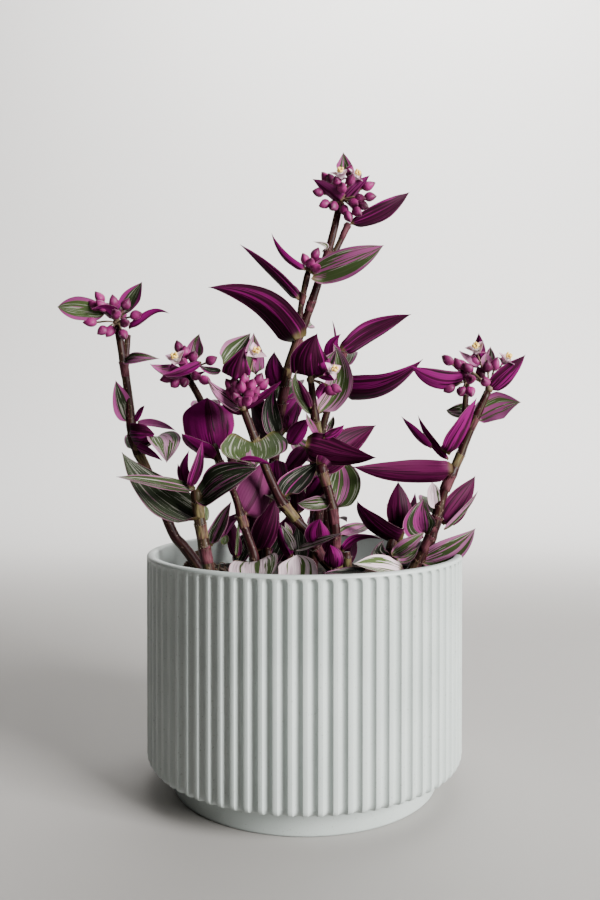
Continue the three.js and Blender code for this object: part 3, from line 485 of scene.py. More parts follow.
stems = [
    Stem("stem_tall", (3.5, 2.6), [
        [(-23, 12, 112), (-20, 10, 160), (-16, 10, 201), (-9, 10, 239), (2, 10, 269), (15, 10, 309),
         (21, 10, 334)],
        [(10, 10, 291), (20, 14, 310), (26, 15, 323)],
        [(-2.5, 10, 258), (-2, 9, 273), (2, 5, 292)],
    ], [
        Leaf(253, (-55, -6, 282), 21, (0.25, 0.85, 0.45), 4, pink=0.2, dark=0.95, margin=0.12, root=1,
             point=1.6, bow=(4, 0, 5), belly=0.3, foot=(-1, -6, -0.5)),
        Leaf(276, (-38, 8, 310), 9, (0.45, 0.75, 0.45), 2, pink=0.15, dark=0.7, margin=0.2, fold=25,
             root=0.9, bow=(-0.5, 0, 0), belly=0.3, foot=(-7.5, -4, 0)),
        Leaf(287, (-19, 2, 315), 6, (0.5, 0.75, 0.45), -2, pink=0.6, dark=0.8, margin=0.3, fold=25,
             root=0.9, bow=(-2, 0, -1.5), belly=0.35, foot=(0, -6, 5), on=2),
        Leaf(289, (45, -10, 305), 18, (0, -1, -0.1), 0, pink=0.4, pale=0.15, dark=0.5, margin=0.14,
             root=0.5, bow=(0.5, -2, -1.5), belly=0.42, foot=(3, -1.5, 1.5), on=2),
        Leaf(306, (5, 2, 310), 3.5, (-0.3, -1, 0.2), 2, pink=0.6, pale=0.8, dark=0.3, margin=0.3,
             bow=(3.5, 0, 1), foot=(-3, 0, 0)),
        Leaf(322, (63, 16, 343), 13.5, (-0.4, 0.75, 0.55), -2, pink=0.2, dark=0.9, margin=0.12, root=0.25,
             bow=(1.5, 0, -1.5), belly=0.5, foot=(1.5, 0, 1), on=1),
        Leaf(237, (-18, 20, 248), 12.5, (0.2, 0.95, 0.2), -2, pink=0.75, margin=0.2, root=0.7,
             bow=(-1.5, 0, -0.5), belly=0.45, foot=(-6, 0, -11.5)),
        Leaf(201, (0, 16, 226), 17, (-0.3, 0.9, 0.2), -2, pink=0.8, margin=0.2),
        Leaf(195, (-33, 24, 218), 28.5, (0.3, 0.9, 0.2), -4, pink=0.12, dark=1, margin=0.1,
             foot=(5, 0, 2)),
        Leaf(190, (2, 5, 207), 12, (-0.2, 0.9, 0.3), 2, pink=1, dark=0.2, margin=0.3, bow=(0.5, 0, 0),
             foot=(8.5, 0, 1)),
        Leaf(165, (-14, 0, 165), 12.5, to_back, -2, pink=0.6, dark=0.8, foot=(3, -10, 19.5)),
        Leaf(215, (-2, 42, 232), 18, (0, -0.4, 0.9), 5, pale=0.2),
        Leaf(262, (4, 42, 268), 9, (0.8, -0.3, 0.5), 2, pale=0.2),
        Leaf(225, (-13, 14, 226), 6, to_front, 0, pale=1, dark=0.2, bow=(-0.5, 0, 0), foot=(0, 4, 14)),
        Leaf(196, (-17, 4, 228), 12, to_front, 0, pink=0.12, dark=1, margin=0.05, root=0.8, point=1.3,
             bow=(-3, 0, 0.5), belly=0.3, foot=(0, -5, 0.5)),
        Leaf(196, (-4, 12, 223), 9.5, to_back, 0, pink=0.5, pale=0.6, dark=0.9, root=0.6, foot=(6, 4, 2)),
        Leaf(280, (-8, 7, 287), 3.5, (0.3, 0.9, 0.3), 0, pink=0.8, dark=0.4, root=0.8,
             foot=(-2, -0.5, -1), on=2),
    ]),
    Stem("stem_far_left", (3.6, 2.6), [
        [(-56, -5, 112), (-64, -5, 126), (-70, -5, 134), (-76, -5, 142), (-88, -5, 172), (-98, -5, 193),
         (-100, -5, 212), (-103, -5, 234), (-107, -5, 259)],
        [(-103, -5, 232), (-102, -2, 254)],
    ], [
        Leaf(238, (-81, -17, 240), 8.5, (0.1, -0.9, 0.4), 5, pink=0.2, pale=0.2, bow=(0, 0, -2),
             foot=(1, 0, 1.5)),
        Leaf(203, (-106, -15, 228), 13, (0.5, -0.8, 0.2), -2, pink=0.12, pale=0.1, dark=0.9, margin=0.5,
             foot=(-2.5, 0, 1)),
        Leaf(205, (-90, -14, 214), 3.5, to_back, 1, pink=0.85, margin=0.3, bow=(-0.5, 0, 0.5),
             foot=(1.5, 0, -1)),
        Leaf(203, (-75, 2, 200), 6, (0.1, -0.8, 0.6), 3, pink=0.9, pale=0.1, margin=0.3, bow=(0, 0, -0.5),
             foot=(2.5, 0, 1.5)),
        Leaf(194, (-76, -24, 182), 19, (0.3, -0.9, 0.3), 5, pink=0.35, pale=0.55, dark=0.45, margin=0.2,
             lobe=3, cup=2, root=0.45, point=1.6, bow=(1.5, 0, 0), belly=0.45, foot=(13.5, 0, 3)),
        Leaf(186, (-100, 24, 196), 18, (0, -0.5, 0.9), 4, pale=0.2),
        Leaf(196, (-84, -16, 198), 14, to_back, -3, pink=0.5, dark=0.7, fold=5, root=0.9, point=4,
             foot=(-2.5, -4, 2)),
        Leaf(194, (-78, -26, 183), 6, (0.2, 0.9, 0.4), 0, pink=1, dark=0, root=0.9, point=1.4,
             bow=(0.5, 0, 0.5), foot=(2, -8, -3)),
    ]),
    Stem("stem_left_middle", (2.6, 2.4), [
        [(-24, -38, 112), (-27, -38, 132), (-31, -36, 144), (-34, -34, 152), (-38, -30, 165),
         (-48, -24, 185), (-56, -18, 212), (-65, -15, 229)],
    ], [
        Leaf(187, (-54, -22, 218), 31.5, (-0.1, 0.95, -0.1), 0, pink=0.75, margin=0.1, fold=15, cup=20,
             root=0.14, point=6, bow=(-0.5, -6, 0), belly=0.5, foot=(-0.5, 3.5, -2)),
        Leaf(182, (-65, -42, 198), 15, (0.2, 0.6, 0.8), 3, pink=0.95, dark=0.5, margin=0.3,
             bow=(-2, 0, -3), foot=(-2.5, 0, 1)),
        Leaf(154, (-23, -20, 183), 22, (-0.3, 0.9, 0.2), -2, pink=0.9, pale=0.5, dark=1, margin=0.2,
             root=0.6, bow=(1.5, 0, -0.5), foot=(2, 0, -0.5)),
        Leaf(133, (-24, -68, 119), 26.5, (-0.14, -0.8, 0.6), 4, pink=0.6, pale=1, dark=0.3, margin=0.1,
             lobe=6, fold=0, cup=20, root=0.75, point=3, foot=(1, 0, -3)),
        Leaf(153, (-46, -16, 137), 12, (0, 0, 1), 4, pink=0.7, pale=0.8, dark=0.5, margin=0.2),
        Leaf(205, (-60, 14, 216), 18, (0, -0.4, 0.9), 4, pale=0.2),
        Leaf(124, (-33, -19, 152), 6, to_front, 0, pink=1, pale=0.35, dark=0, cup=40, root=1, point=8,
             foot=(-8, 19, 17.5)),
    ]),
    Stem("stem_left_front", (3.7, 3.2), [
        [(-48, -45, 112), (-51, -45, 129), (-54, -45, 145), (-56, -45, 158), (-57, -45, 167)],
    ], [
        Leaf(165, (-95, -62, 176), 11, (0, -0.6, 0.75), 0, pink=0.25, pale=0.25, dark=0.7, margin=0.12,
             foot=(0, 0, 2.5)),
        Leaf(150, (-98, -36, 188), 29, (0.3, -0.6, 0.75), -6, pink=0.06, pale=0.05, dark=0.9, margin=0.04,
             root=0.3, point=1.6, bow=(-1.5, 0, -1.5), foot=(1.5, 0, 0.5)),
        Leaf(161, (-24, -58, 180), 22, (-0.3, -0.8, 0.5), 0, pink=0.05, pale=0.1, dark=0.95, margin=0.1,
             bow=(-1, -4, 2), foot=(1.5, 0, 2)),
        Leaf(138, (-39, -40, 162), 14, (-0.6, -0.6, 0.5), -2, pink=0.35, pale=0.3, dark=0.7,
             bow=(-1, 0, 0), foot=(3.5, 0, -0.5)),
        Leaf(150, (-54, -36, 160), 5, (0.3, -0.9, 0.2), 0, pink=0, dark=0.3, margin=0.05, root=0.5,
             point=3, bow=(0.5, 0, 0), foot=(1.5, 0, 0.5)),
        Leaf(165, (-67, -42, 182), 5.5, (0.3, 0.9, 0.2), 0, pink=0.5, dark=0.9, margin=0.2,
             bow=(-1.5, 0, -0.5), foot=(-3, 0, 2.5)),
        Leaf(165, (-61, -42, 189), 10, (0.6, 0.7, 0.4), 0, pink=0.8, margin=0.2, bow=(-3.5, 0, -1.5),
             foot=(-5, -1, 5)),
        Leaf(165, (-54, -44, 194), 9.5, (-0.7, 0.6, 0.3), -2, pink=0.35, dark=0.9, margin=0.2,
             bow=(0.5, 0, 0), foot=(-3, -3, 3)),
    ], 0.5),
    Stem("stem_heart_leaf", (3, 2.7), [
        [(22, -28, 112), (18, -30, 121), (9, -32, 131), (3, -34, 143), (-7, -35, 154), (-13, -35, 162),
         (-19, -35, 175), (-26, -35, 193), (-29, -35, 201), (-32, -35, 209)],
    ], [
        Leaf(194, (-25, -62, 182), 36, (0, -0.8, 0.6), 0, pink=0.14, pale=0.3, dark=0.4, margin=0.03,
             lobe=14, fold=0, cup=24, root=0.7, point=3.2, belly=0.42, foot=(-0.5, -3, -0.5)),
        Leaf(161, (8, -12, 182), 18.5, (-0.3, -0.8, 0.55), -2, pink=0.12, dark=1, margin=0.1,
             bow=(-1.5, 0, 1), foot=(1, 2, 1.5)),
        Leaf(159, (-24, -8, 161), 14, (0, 0, 1), 3, pale=0.2, margin=0.1),
        Leaf(142, (19, -64, 148), 10.5, (-0.2, -0.5, 0.85), 2, pink=0.6, pale=1, dark=0.2, margin=0.2,
             lobe=2, bow=(1, 0, -3), foot=(-6.5, 0, -6.5)),
        Leaf(136, (-4, -72, 138), 20.5, to_front, 3, pink=0.7, pale=1, dark=0.1, margin=0.1, root=0.4,
             point=9, bow=(3, 0, 0), belly=0.5, foot=(-14, -29, -18)),
        Leaf(194, (-17, -62, 182), 4.5, to_back, 0, pink=1, dark=0, margin=0.3, root=0.1, bow=(0, 0, 1.5),
             foot=(-8.5, -23, -10.5)),
    ]),
    Stem("stem_centre", (3.4, 2.4), [
        [(4, 0, 112), (8, 0, 148), (10, 0, 177), (8, -2, 197), (6, -4, 209), (4, -7, 226)],
    ], [
        Leaf(209, (17, 4, 251), 18.5, (-0.3, -0.9, 0.2), -5, pink=0.45, pale=0.45, dark=0.45, margin=0.35,
             root=0.5, bow=(7, 0, -1), belly=0.4, foot=(2, 0, -0.5)),
        Leaf(208, (-4, -11, 234), 8, (0.6, -0.7, 0.3), -2, pink=0.15, pale=0.1, margin=0.1,
             bow=(-4.5, 0, 2), foot=(-0.5, 0, -1)),
        Leaf(170, (-13, 3, 175), 11.5, (0.1, 0.9, 0.4), 0, pink=0.8, pale=0.3, dark=0.8,
             bow=(0.5, 0, -0.5), foot=(-8, 0, 20.5)),
        Leaf(160, (-5, 0, 172), 13.5, to_back, 2, pink=0.35, dark=1, bow=(-1, 0, 0),
             foot=(-12.5, 0, -8.5)),
        Leaf(205, (-4, -14, 229), 5, to_back, 0, pink=0.35, dark=1, bow=(0.5, 0, 0),
             foot=(-3, -10.5, 6.5)),
    ]),
    Stem("stem_centre_back", (3, 2.2), [
        [(16, 22, 112), (13, 22, 158), (11, 20, 196), (14, 20, 212), (19, 20, 228), (24, 20, 247)],
    ], [
        Leaf(246, (65, 22, 271), 18, (-0.35, 0.7, 0.6), 3, pink=0.25, dark=0.8, margin=0.14,
             bow=(0, 0, -0.5), foot=(-1, 0, 1)),
        Leaf(226, (71, 14, 243), 21, (-0.3, 0.75, 0.6), -3, pink=0.5, dark=0.9, margin=0.1, root=0.9,
             bow=(0.5, 0, -6), belly=0.25, foot=(2, 0, -1)),
        Leaf(246, (22, 14, 258), 11, (0, 0.9, 0.3), 0, pink=0.9, margin=0.2, root=0.8, point=1.3,
             bow=(-4, 0, 0.5), belly=0.35, foot=(-4, 0, -4.5)),
        Leaf(236, (30, 50, 250), 18, (0, -0.4, 0.9), 4, pale=0.2),
        Leaf(180, (34, 52, 190), 20, (0, -0.3, 0.95), 5, pale=0.2),
        Leaf(246, (17, 20, 267), 1.5, to_back, 0, pink=0.9, pale=0.9, dark=0, bow=(0.5, 0, 0),
             foot=(-4.5, 0, 7)),
    ]),
    Stem("stem_centre_right", (3.2, 3), [
        [(19, -15, 112), (18, -18, 128), (17, -20, 143), (16, -20, 155), (13, -20, 167), (9, -20, 180)],
    ], [
        Leaf(179, (39, -30, 185), 20, (0.1, 0.9, 0.4), 4, pink=0.5, dark=1, margin=0.08, root=0.75,
             point=1.5, bow=(0, 0, -3.5), belly=0.2, foot=(-10, 0, 12)),
        Leaf(178, (41, -6, 203), 22, (-0.2, 0.9, 0.35), 2, pink=0.35, dark=1, margin=0.2),
        Leaf(155, (19, 0, 183), 21, (-0.1, -0.95, 0.4), 4, pink=0.42, pale=0.2, dark=0.55, margin=0.08,
             bow=(4.5, 0, -1), foot=(1.5, 0, 0.5)),
        Leaf(141, (38, 4, 145), 12.5, (0, -0.5, 0.85), 3, pale=0.2, dark=0.5, margin=0.2, bow=(1, 0, -2),
             foot=(1.5, 0, -1)),
        Leaf(178, (16, -17, 208), 5, (-0.5, -0.6, 0.2), 0, pale=0.5, margin=0.1, root=0.5, point=2.2,
             bow=(1, 0, 0), foot=(3, 1, 20)),
        Leaf(178, (1, -10, 210), 5, (0.5, -0.8, 0.2), 0, pink=0.6, pale=0.1, dark=0.5, margin=0.2,
             bow=(-1, 0, 0), foot=(-1.5, 8, 17.5)),
        Leaf(157, (-4, -15, 159), 10.5, (0, -0.8, 0.6), 3, pale=0.5, dark=0.5, margin=0.2,
             bow=(0, 0, -2.5), foot=(-0.5, 0, 2)),
        Leaf(146, (-6, 4, 154), 9.5, (0.1, 0.9, 0.2), -2, pink=0.1, dark=1, foot=(-28.5, 20, -9.5)),
        Leaf(179, (22, -22, 203), 6.5, to_back, 0, pink=0.5, dark=0.8, bow=(0.5, 0, -1),
             foot=(0.5, -2, 16)),
        Leaf(175, (0, -8, 160), 12.5, to_back, 0, pink=0.6, dark=0.8, bow=(1, 0, -1), foot=(0, 6, -0.5)),
        Leaf(124, (20, 14, 142), 11.5, to_back, 1, pink=0.25, dark=1, root=0.5, belly=0.45,
             foot=(-6, 27, -4)),
        Leaf(124, (11, 34, 139), 13, to_front, 1, pink=0.05, dark=1, root=0.5, bow=(-0.5, 0, 0),
             belly=0.45, foot=(-15, 47, -7.5)),
        Leaf(124, (32, 28, 135), 11, to_back, 1, pink=0.15, dark=1, root=0.5, bow=(-0.5, 0, 0),
             belly=0.45, foot=(6.5, 41, -6.5)),
        Leaf(124, (6, 4, 153), 4.5, to_front, 0, pink=1, pale=0.8, dark=0, root=0.7, point=3,
             bow=(0.5, 0, 0), foot=(-14, 21, 16.5)),
    ]),
    Stem("stem_right", (3.8, 2.5), [
        [(57, -12, 112), (64, -12, 125), (71, -12, 138), (74.5, -12, 149), (77.5, -12, 161),
         (81.5, -12, 172), (87, -10, 182), (95, -8, 201), (104, -8, 221)],
        [(92, -8, 197), (91, -10, 208), (92, -11, 225)],
    ], [
        Leaf(175, (26, -32, 180), 16, (0, 0.9, 0.45), 4, pink=0.6, dark=1, margin=0.12, root=0.75,
             bow=(0, 0, -4), belly=0.35, foot=(1, -7.5, 1.5)),
        Leaf(174, (96, -18, 218), 18, (-0.6, 0.7, 0.4), -2, pink=0.5, dark=0.9, margin=0.2, root=0.6,
             bow=(-0.5, 0, 0), belly=0.3, foot=(-1, -0.5, 11)),
        Leaf(177, (55, -11, 208), 7.5, (0.6, 0.6, 0.5), -2, pink=0.9, dark=0.3, margin=0.2,
             bow=(0.5, 0, 0.5), foot=(-12, 0, 12)),
        Leaf(177, (66, 0, 209), 6, (0.6, 0.7, 0.3), 0, pink=0.8, margin=0.2, bow=(-2, 0, -1),
             foot=(-2.5, 0, 5.5)),
        Leaf(211, (123, -10, 216), 19.5, (-0.1, -0.85, 0.5), -2, pink=0.45, pale=0.15, dark=0.35,
             margin=0.35, point=1.1, bow=(-1, 0, 2.5), belly=0.6, foot=(-2, 6, -5.5)),
        Leaf(207, (82, -2, 212), 11, (0, -0.9, 0.5), 2, pink=0.2, pale=0.5, margin=0.1, bow=(-0.5, 0, -2),
             foot=(-0.5, 0, 4)),
        Leaf(147, (98, -6, 174), 18, (-0.3, 0.95, 0.25), -2, pink=0.4, dark=1, margin=0.2,
             bow=(0.5, 0, -0.5), foot=(4.5, 0, -1.5)),
        Leaf(126, (96, -16, 145), 16, (0.2, -0.9, 0.4), 3, pink=0.45, pale=0.3, margin=0.25,
             bow=(2, 0, -3), foot=(2, 0, -0.5)),
        Leaf(139, (66, -22, 162), 19.5, to_front, 2, pink=0.35, pale=0.05, dark=0.8, margin=0.05,
             bow=(-3.5, 0, -0.5), belly=0.4, foot=(-4, 0, 2.5)),
        Leaf(156, (71, -20, 171), 8, to_front, 0, pink=0.65, pale=0.8, dark=0.5, margin=0.1, point=4,
             bow=(-0.5, 0, 0), foot=(-2, 0, 0)),
        Leaf(186, (90, 28, 196), 9, (0.6, -0.4, 0.7), 3, pale=0.2),
        Leaf(150, (78, 28, 156), 20, (0, -0.3, 0.95), 6, pale=0.2),
        Leaf(147, (98, -14, 166), 3.5, (0.3, -0.9, 0.4), 0, pink=0.4, pale=0.3, root=0.5, bow=(1.5, 0, 0),
             foot=(4, -3, -3.5)),
    ]),
    Stem("stem_right_short", (2.8, 2.5), [
        [(48, -18, 112), (48, -18, 134), (53, -14, 144)],
    ], [
        Leaf(135, (29, -26, 161), 19.5, (0.5, 0.6, 0.6), 2, pink=0.25, dark=0.85, margin=0.04, root=0.9,
             bow=(-5, 0, -3), belly=0.3, foot=(6, 0, 1)),
        Leaf(142, (53, -12, 171), 15.5, (0, 0.95, 0.3), -2, pink=0.4, dark=1, foot=(2, 0, 1)),
        Leaf(142, (64, -2, 164), 6.5, (-0.2, 0.95, 0.2), 0, pink=0.2, dark=0.9, bow=(2, 0, 0),
             foot=(4.5, 0, 4.5)),
        Leaf(131, (43, -30, 140), 9.5, (0.1, -0.9, 0.3), 2, pink=0.05, pale=0.2, dark=1, margin=0.1,
             root=0.8, point=3, bow=(-5.5, 0, 0.5), foot=(-2.5, 0, -2.5)),
        Leaf(128, (66, -26, 144), 8.5, (0.1, -0.9, 0.4), 3, pink=0.45, pale=0.3, dark=0.4, margin=0.12,
             bow=(0.5, 0, -0.5), foot=(0.5, -4, 2.5)),
        Leaf(126, (63, -24, 136), 6.5, (-0.2, -0.8, 0.5), 1, pink=0.1, pale=0.3, dark=0.5, bow=(1, 0, -3),
             foot=(2.5, -4, 2.5)),
    ]),
    Stem("shoot_front_purple", (2.6, 2.4), [
        [(24, -42, 112), (22, -42, 134)],
    ], [
        Leaf(133, (40, -50, 143), 9.5, (-0.1, 0.5, 0.85), 2, pink=0.4, dark=0.7, bow=(-1, 0, 1.5),
             foot=(-2.5, 0, 2)),
        Leaf(132, (8, -44, 153), 14, to_back, 0, pink=0.6, dark=0.7, margin=0.2, fold=5, bow=(-1, 0, 0),
             foot=(-15, 0, 6.5)),
        Leaf(120, (13, -50, 140), 11, to_back, -2, pink=0.5, dark=0.8, point=3, bow=(1, 0, 0),
             foot=(-8.5, -8, 6.5)),
    ]),
    Stem("shoot_front_striped", (2.6, 2.4), [
        [(50, -54, 112), (49, -55, 126)],
    ], [
        Leaf(125, (24, -68, 133), 16.5, (0.1, -0.6, 0.8), 3, pink=0.5, pale=1, dark=0.25, margin=0.1,
             bow=(0, 0, -2), foot=(0.5, 0, 1.5)),
        Leaf(119, (40, -36, 128), 12, (0, 0, 1), 3, pink=0.5, pale=0.3, dark=0.5, margin=0.1),
        Leaf(116, (9, -66, 128), 8, (0, -0.3, 0.9), 1, pink=0.1, pale=0.2, dark=1, margin=0.1,
             bow=(0, 0, -1.5), foot=(-18, -1.5, 11.5)),
    ]),
    Stem("shoot_centre_left", (2.6, 2.2), [
        [(-22, -8, 112), (-21, -8, 132)],
    ], [
        Leaf(130, (-16, -12, 162), 16, to_back, -2, pink=0.15, pale=0.1, dark=1, root=0.5,
             bow=(0.5, 0, 0), foot=(-6, -2, 0.5)),
        Leaf(126, (-42, -10, 151), 9, to_back, 0, pink=0.15, dark=1, bow=(-0.5, 0, 0),
             foot=(-17, -2, 0.5)),
        Leaf(124, (-14, -22, 147), 8, to_back, 0, pink=0.6, dark=0.8, margin=0.1, bow=(-1, 0, 0),
             foot=(14, -12, 5)),
        Leaf(128, (-30, -2, 157), 12.5, to_back, 0, pink=0.05, dark=1, foot=(-8.5, 4, 0)),
        Leaf(130, (-13, -26, 148), 6, to_front, 0, pink=0.55, pale=1, dark=0.3, margin=0.1,
             bow=(0.5, 0, 0), foot=(15.5, -16, 3)),
        Leaf(130, (-11, -20, 149), 3.5, to_front, 0, pink=0.1, pale=0.5, dark=0.4, foot=(14, -12, 11)),
        Leaf(124, (-28, 10, 147), 11, to_front, 1, pink=0.05, dark=1, root=0.5, bow=(0.5, 0, 0),
             belly=0.45, foot=(-19, 14, -3.5)),
        Leaf(124, (-35, 20, 151), 13, to_back, 1, pink=0.15, dark=1, root=0.5, bow=(-2, 0, 0), belly=0.45,
             foot=(-4, 24, -5)),
        Leaf(124, (-8, 10, 151), 12.5, to_front, 1, pink=0.25, dark=1, root=0.5, belly=0.45,
             foot=(1, 16, -4)),
        Leaf(124, (-22, 26, 146), 14.5, to_back, 1, pink=0.05, dark=1, root=0.5, bow=(-2, 0, -0.5),
             belly=0.45, foot=(12.5, 30, -3.5)),
        Leaf(124, (-5, 16, 154), 12, to_front, 1, pink=0.15, dark=1, root=0.5, belly=0.45,
             foot=(20, 20, -2)),
        Leaf(124, (-40, -42, 127), 0.5, to_front, 0, pink=0, dark=0.4, margin=0, root=1, bow=(-1.5, 0, 4),
             foot=(-25, -34, 0)),
        Leaf(124, (-43, -30, 143), 4.5, to_front, 0, pink=0, dark=0.5, margin=0, point=3, bow=(1, 0, 0),
             foot=(-24, -22, 13.5)),
        Leaf(124, (-36, -22, 150), 2, to_front, 0, pink=0, dark=0.5, margin=0, root=1, point=7, belly=0.5,
             foot=(-16.5, -14, 6)),
    ]),
    Stem("stem_back_left", (3.2, 2.6), [
        [(-32, 44, 112), (-34, 50, 145), (-42, 56, 170), (-52, 60, 192)],
    ], [
        Leaf(140, (-16, 88, 144), 22, (0, -0.2, 1), 6, pale=0.2),
        Leaf(156, (-62, 88, 170), 21, (0, -0.2, 1), 5, pink=0.4, pale=0.4, dark=0.5),
        Leaf(170, (-24, 94, 186), 21, (0, -0.3, 1), 5, pale=0.2),
        Leaf(182, (-66, 42, 200), 18, (0.2, -0.2, 1), 3, pink=0.5, pale=0.3),
        Leaf(186, (-56, 86, 190), 12, (0, -0.5, 0.8), 2, pale=0.2),
        Leaf(188, (-56, 62, 204), 8, (0, -0.9, 0.3), -2, pink=0.4, pale=0.2, margin=0.2),
    ]),
    Stem("stem_back_middle", (3.2, 2.6), [
        [(4, 54, 112), (6, 58, 140), (8, 62, 166), (6, 64, 180)],
    ], [
        Leaf(134, (30, 88, 138), 22, (0, -0.2, 1), 6, pale=0.2),
        Leaf(150, (-18, 96, 160), 20, (0, -0.2, 1), 5, pink=0.4, pale=0.5, dark=0.5),
        Leaf(164, (30, 94, 176), 20, (0, -0.3, 1), 4, pale=0.2),
        Leaf(178, (-8, 88, 196), 18, (0, -0.5, 0.8), 2, pink=0.5, pale=0.2),
        Leaf(178, (12, 60, 200), 13, (0, -0.9, 0.3), -2, pink=0.4, pale=0.2, margin=0.2),
    ]),
    Stem("stem_back_right", (3, 2.6), [
        [(50, 42, 112), (58, 46, 132), (62, 48, 150)],
    ], [
        Leaf(128, (48, 84, 134), 22, (0, -0.2, 1), 6, pale=0.2),
        Leaf(138, (88, 64, 148), 21, (0, -0.2, 1), 5, pink=0.4, pale=0.4, dark=0.5),
        Leaf(142, (56, 74, 150), 14, (0.5, -0.5, 0.7), 2, pink=0.5, pale=0.2),
        Leaf(144, (64, 46, 158), 9, (0, -0.9, 0.3), -2, pink=0.4, pale=0.2, margin=0.2),
    ]),
]


def unit(vectors):
    return vectors / np.linalg.norm(vectors, axis=-1, keepdims=True)


def blade_width(u, widest, root, point):
    """How wide a leaf is along its length: round at the base, and drawn out to a point."""
    grow = root + (1 - root) * np.sin(np.pi / 2 * np.clip(u / widest, 0, 1) ** 0.7)
    late = np.clip((u - widest) / (1 - widest), 0, 1)
    fall = (1 - late ** point) * (1 - 0.35 * late ** 9)
    return np.where(u < widest, grow, np.maximum(fall, thinnest_leaf))


def blade_sheet(base, leaf, skip, seed, rows, columns):
    """The middle surface of a leaf, folded along its rib and cupped towards its face."""
    base, tip = np.array(base, float) + leaf.foot, np.array(leaf.tip, float)
    along = unit(tip - base)
    start = base + along * skip
    chord = tip - start
    up = np.array(leaf.face, float)
    up = unit(up - along * up.dot(along))
    u = (1 - np.cos(np.pi * np.linspace(0, 1, rows))) / 2
    u = 0.5 * u + 0.5 * np.linspace(0, 1, rows)
    v = np.sin(np.pi / 2 * np.linspace(-1, 1, columns))
    v = 0.4 * v + 0.6 * np.linspace(-1, 1, columns)
    half, sign = np.abs(v)[None, :], np.sign(v)[None, :]
    rise = 4 * leaf.arch * u * (1 - u) + leaf.bend * np.sin(2 * np.pi * u)
    rib = start + np.outer(u, chord) + np.outer(rise, up) + np.outer(4 * u * (1 - u), leaf.bow)
    slope = unit(np.gradient(rib, axis=0))
    normal = unit(up - slope * (slope @ up)[:, None])
    side = np.cross(slope, normal)
    reach = leaf.wide / 2 * blade_width(u, leaf.belly, leaf.root, leaf.point)
    clasp = clasp_angle / (1 + 3 * leaf.lobe) * np.clip(1 - u / clasp_reach, 0, 1) ** 1.5
    fold = np.radians(leaf.fold + clasp)[:, None]
    cup = math.radians(leaf.cup) + 1e-4
    flat = (np.sin(fold + cup * half) - np.sin(fold)) / cup
    high = (np.cos(fold) - np.cos(fold + cup * half)) / cup
    ripple = 1.6 * u[:, None] + 0.37 * seed + 0.45 * sign
    sway = edge_wave * np.sin(2 * np.pi * ripple) * half ** 2
    back = leaf.lobe * np.clip(1 - u / lobe_reach, 0, 1)[:, None] ** 2 * half ** 1.3 * (1 - 0.5 * half ** 6)
    sheet = (rib[:, None, :] + side[:, None, :] * (sign * flat * reach[:, None])[..., None]
             + normal[:, None, :] * ((high + sway) * reach[:, None])[..., None]
             - slope[:, None, :] * back[..., None])
    return sheet, u, v


def add_blade(heap, base, leaf, skip, seed, rows=30, columns=17, thick=0.5):
    """A leaf with two skins that meet in a thin rim."""
    sheet, u, v = blade_sheet(base, leaf, skip, seed, rows, columns)
    across = np.gradient(sheet, axis=1)
    down = np.gradient(sheet, axis=0)
    face = np.cross(across, down)
    face /= np.maximum(np.linalg.norm(face, axis=-1, keepdims=True), 1e-9)
    thin_rim = 0.25 + 0.75 * (1 - np.abs(v)[None, :] ** 4)
    thin_ends = 0.4 + 0.6 * np.sin(np.pi * np.clip(u * 0.9 + 0.08, 0, 1))
    body = thick / 2 * thin_rim * thin_ends[:, None]
    upper = (sheet + face * body[..., None]).reshape(-1, 3)
    under = (sheet - face * body[..., None]).reshape(-1, 3)
    count = rows * columns
    top = strips(rows, columns)
    faces = [f[::-1] for f in top] + [tuple(count + i for i in f) for f in top]
    rim = [r * columns for r in range(rows)] + [(rows - 1) * columns + c for c in range(1, columns)]
    rim += [r * columns + columns - 1 for r in range(rows - 2, -1, -1)] + list(range(columns - 2, 0, -1))
    for a, b in zip(rim, rim[1:] + rim[:1]):
        faces.append((a, b, b + count, a + count))
    uu, vv = np.meshgrid(u, v, indexing="ij")
    notes = [np.stack([uu, vv, np.full_like(uu, skin)], -1).reshape(-1, 3) for skin in (1, 0)]
    heap.add(np.concatenate([upper, under]), faces, blade=np.concatenate(notes),
             tint=(leaf.pink, leaf.pale, leaf.dark), mark=(leaf.margin, seed, leaf.wide / 20))


def place_at(path, height):
    """The place on a path at a height."""
    for a, b in zip(path, path[1:]):
        if height <= b[2] or b is path[-1]:
            part = min(1, (height - a[2]) / (b[2] - a[2]))
            return tuple(x + (y - x) * part for x, y in zip(a, b))


def smooth_path(path, steps=6):
    """A curve through every point of a path, and how far along the path each of its points is."""
    points = np.array(path, float)
    padded = np.vstack([2 * points[0] - points[1], points, 2 * points[-1] - points[-2]])
    curve, parts = [], []
    for i in range(len(points) - 1):
        a, b, c, d = padded[i:i + 4]
        for t in np.linspace(0, 1, steps, endpoint=False):
            curve.append(0.5 * (2 * b + (c - a) * t + (2 * a - 5 * b + 4 * c - d) * t ** 2
                                + (3 * b - a - 3 * c + d) * t ** 3))
            parts.append((i + t) / (len(points) - 1))
    return np.array(curve + [points[-1]]), np.array(parts + [1.0])


def ring_notes(turns, value):
    """What the rind's streaks run on: the way round a stem, and a value along it."""
    return np.stack([np.cos(turns), np.sin(turns), np.full(len(turns), value)], -1)


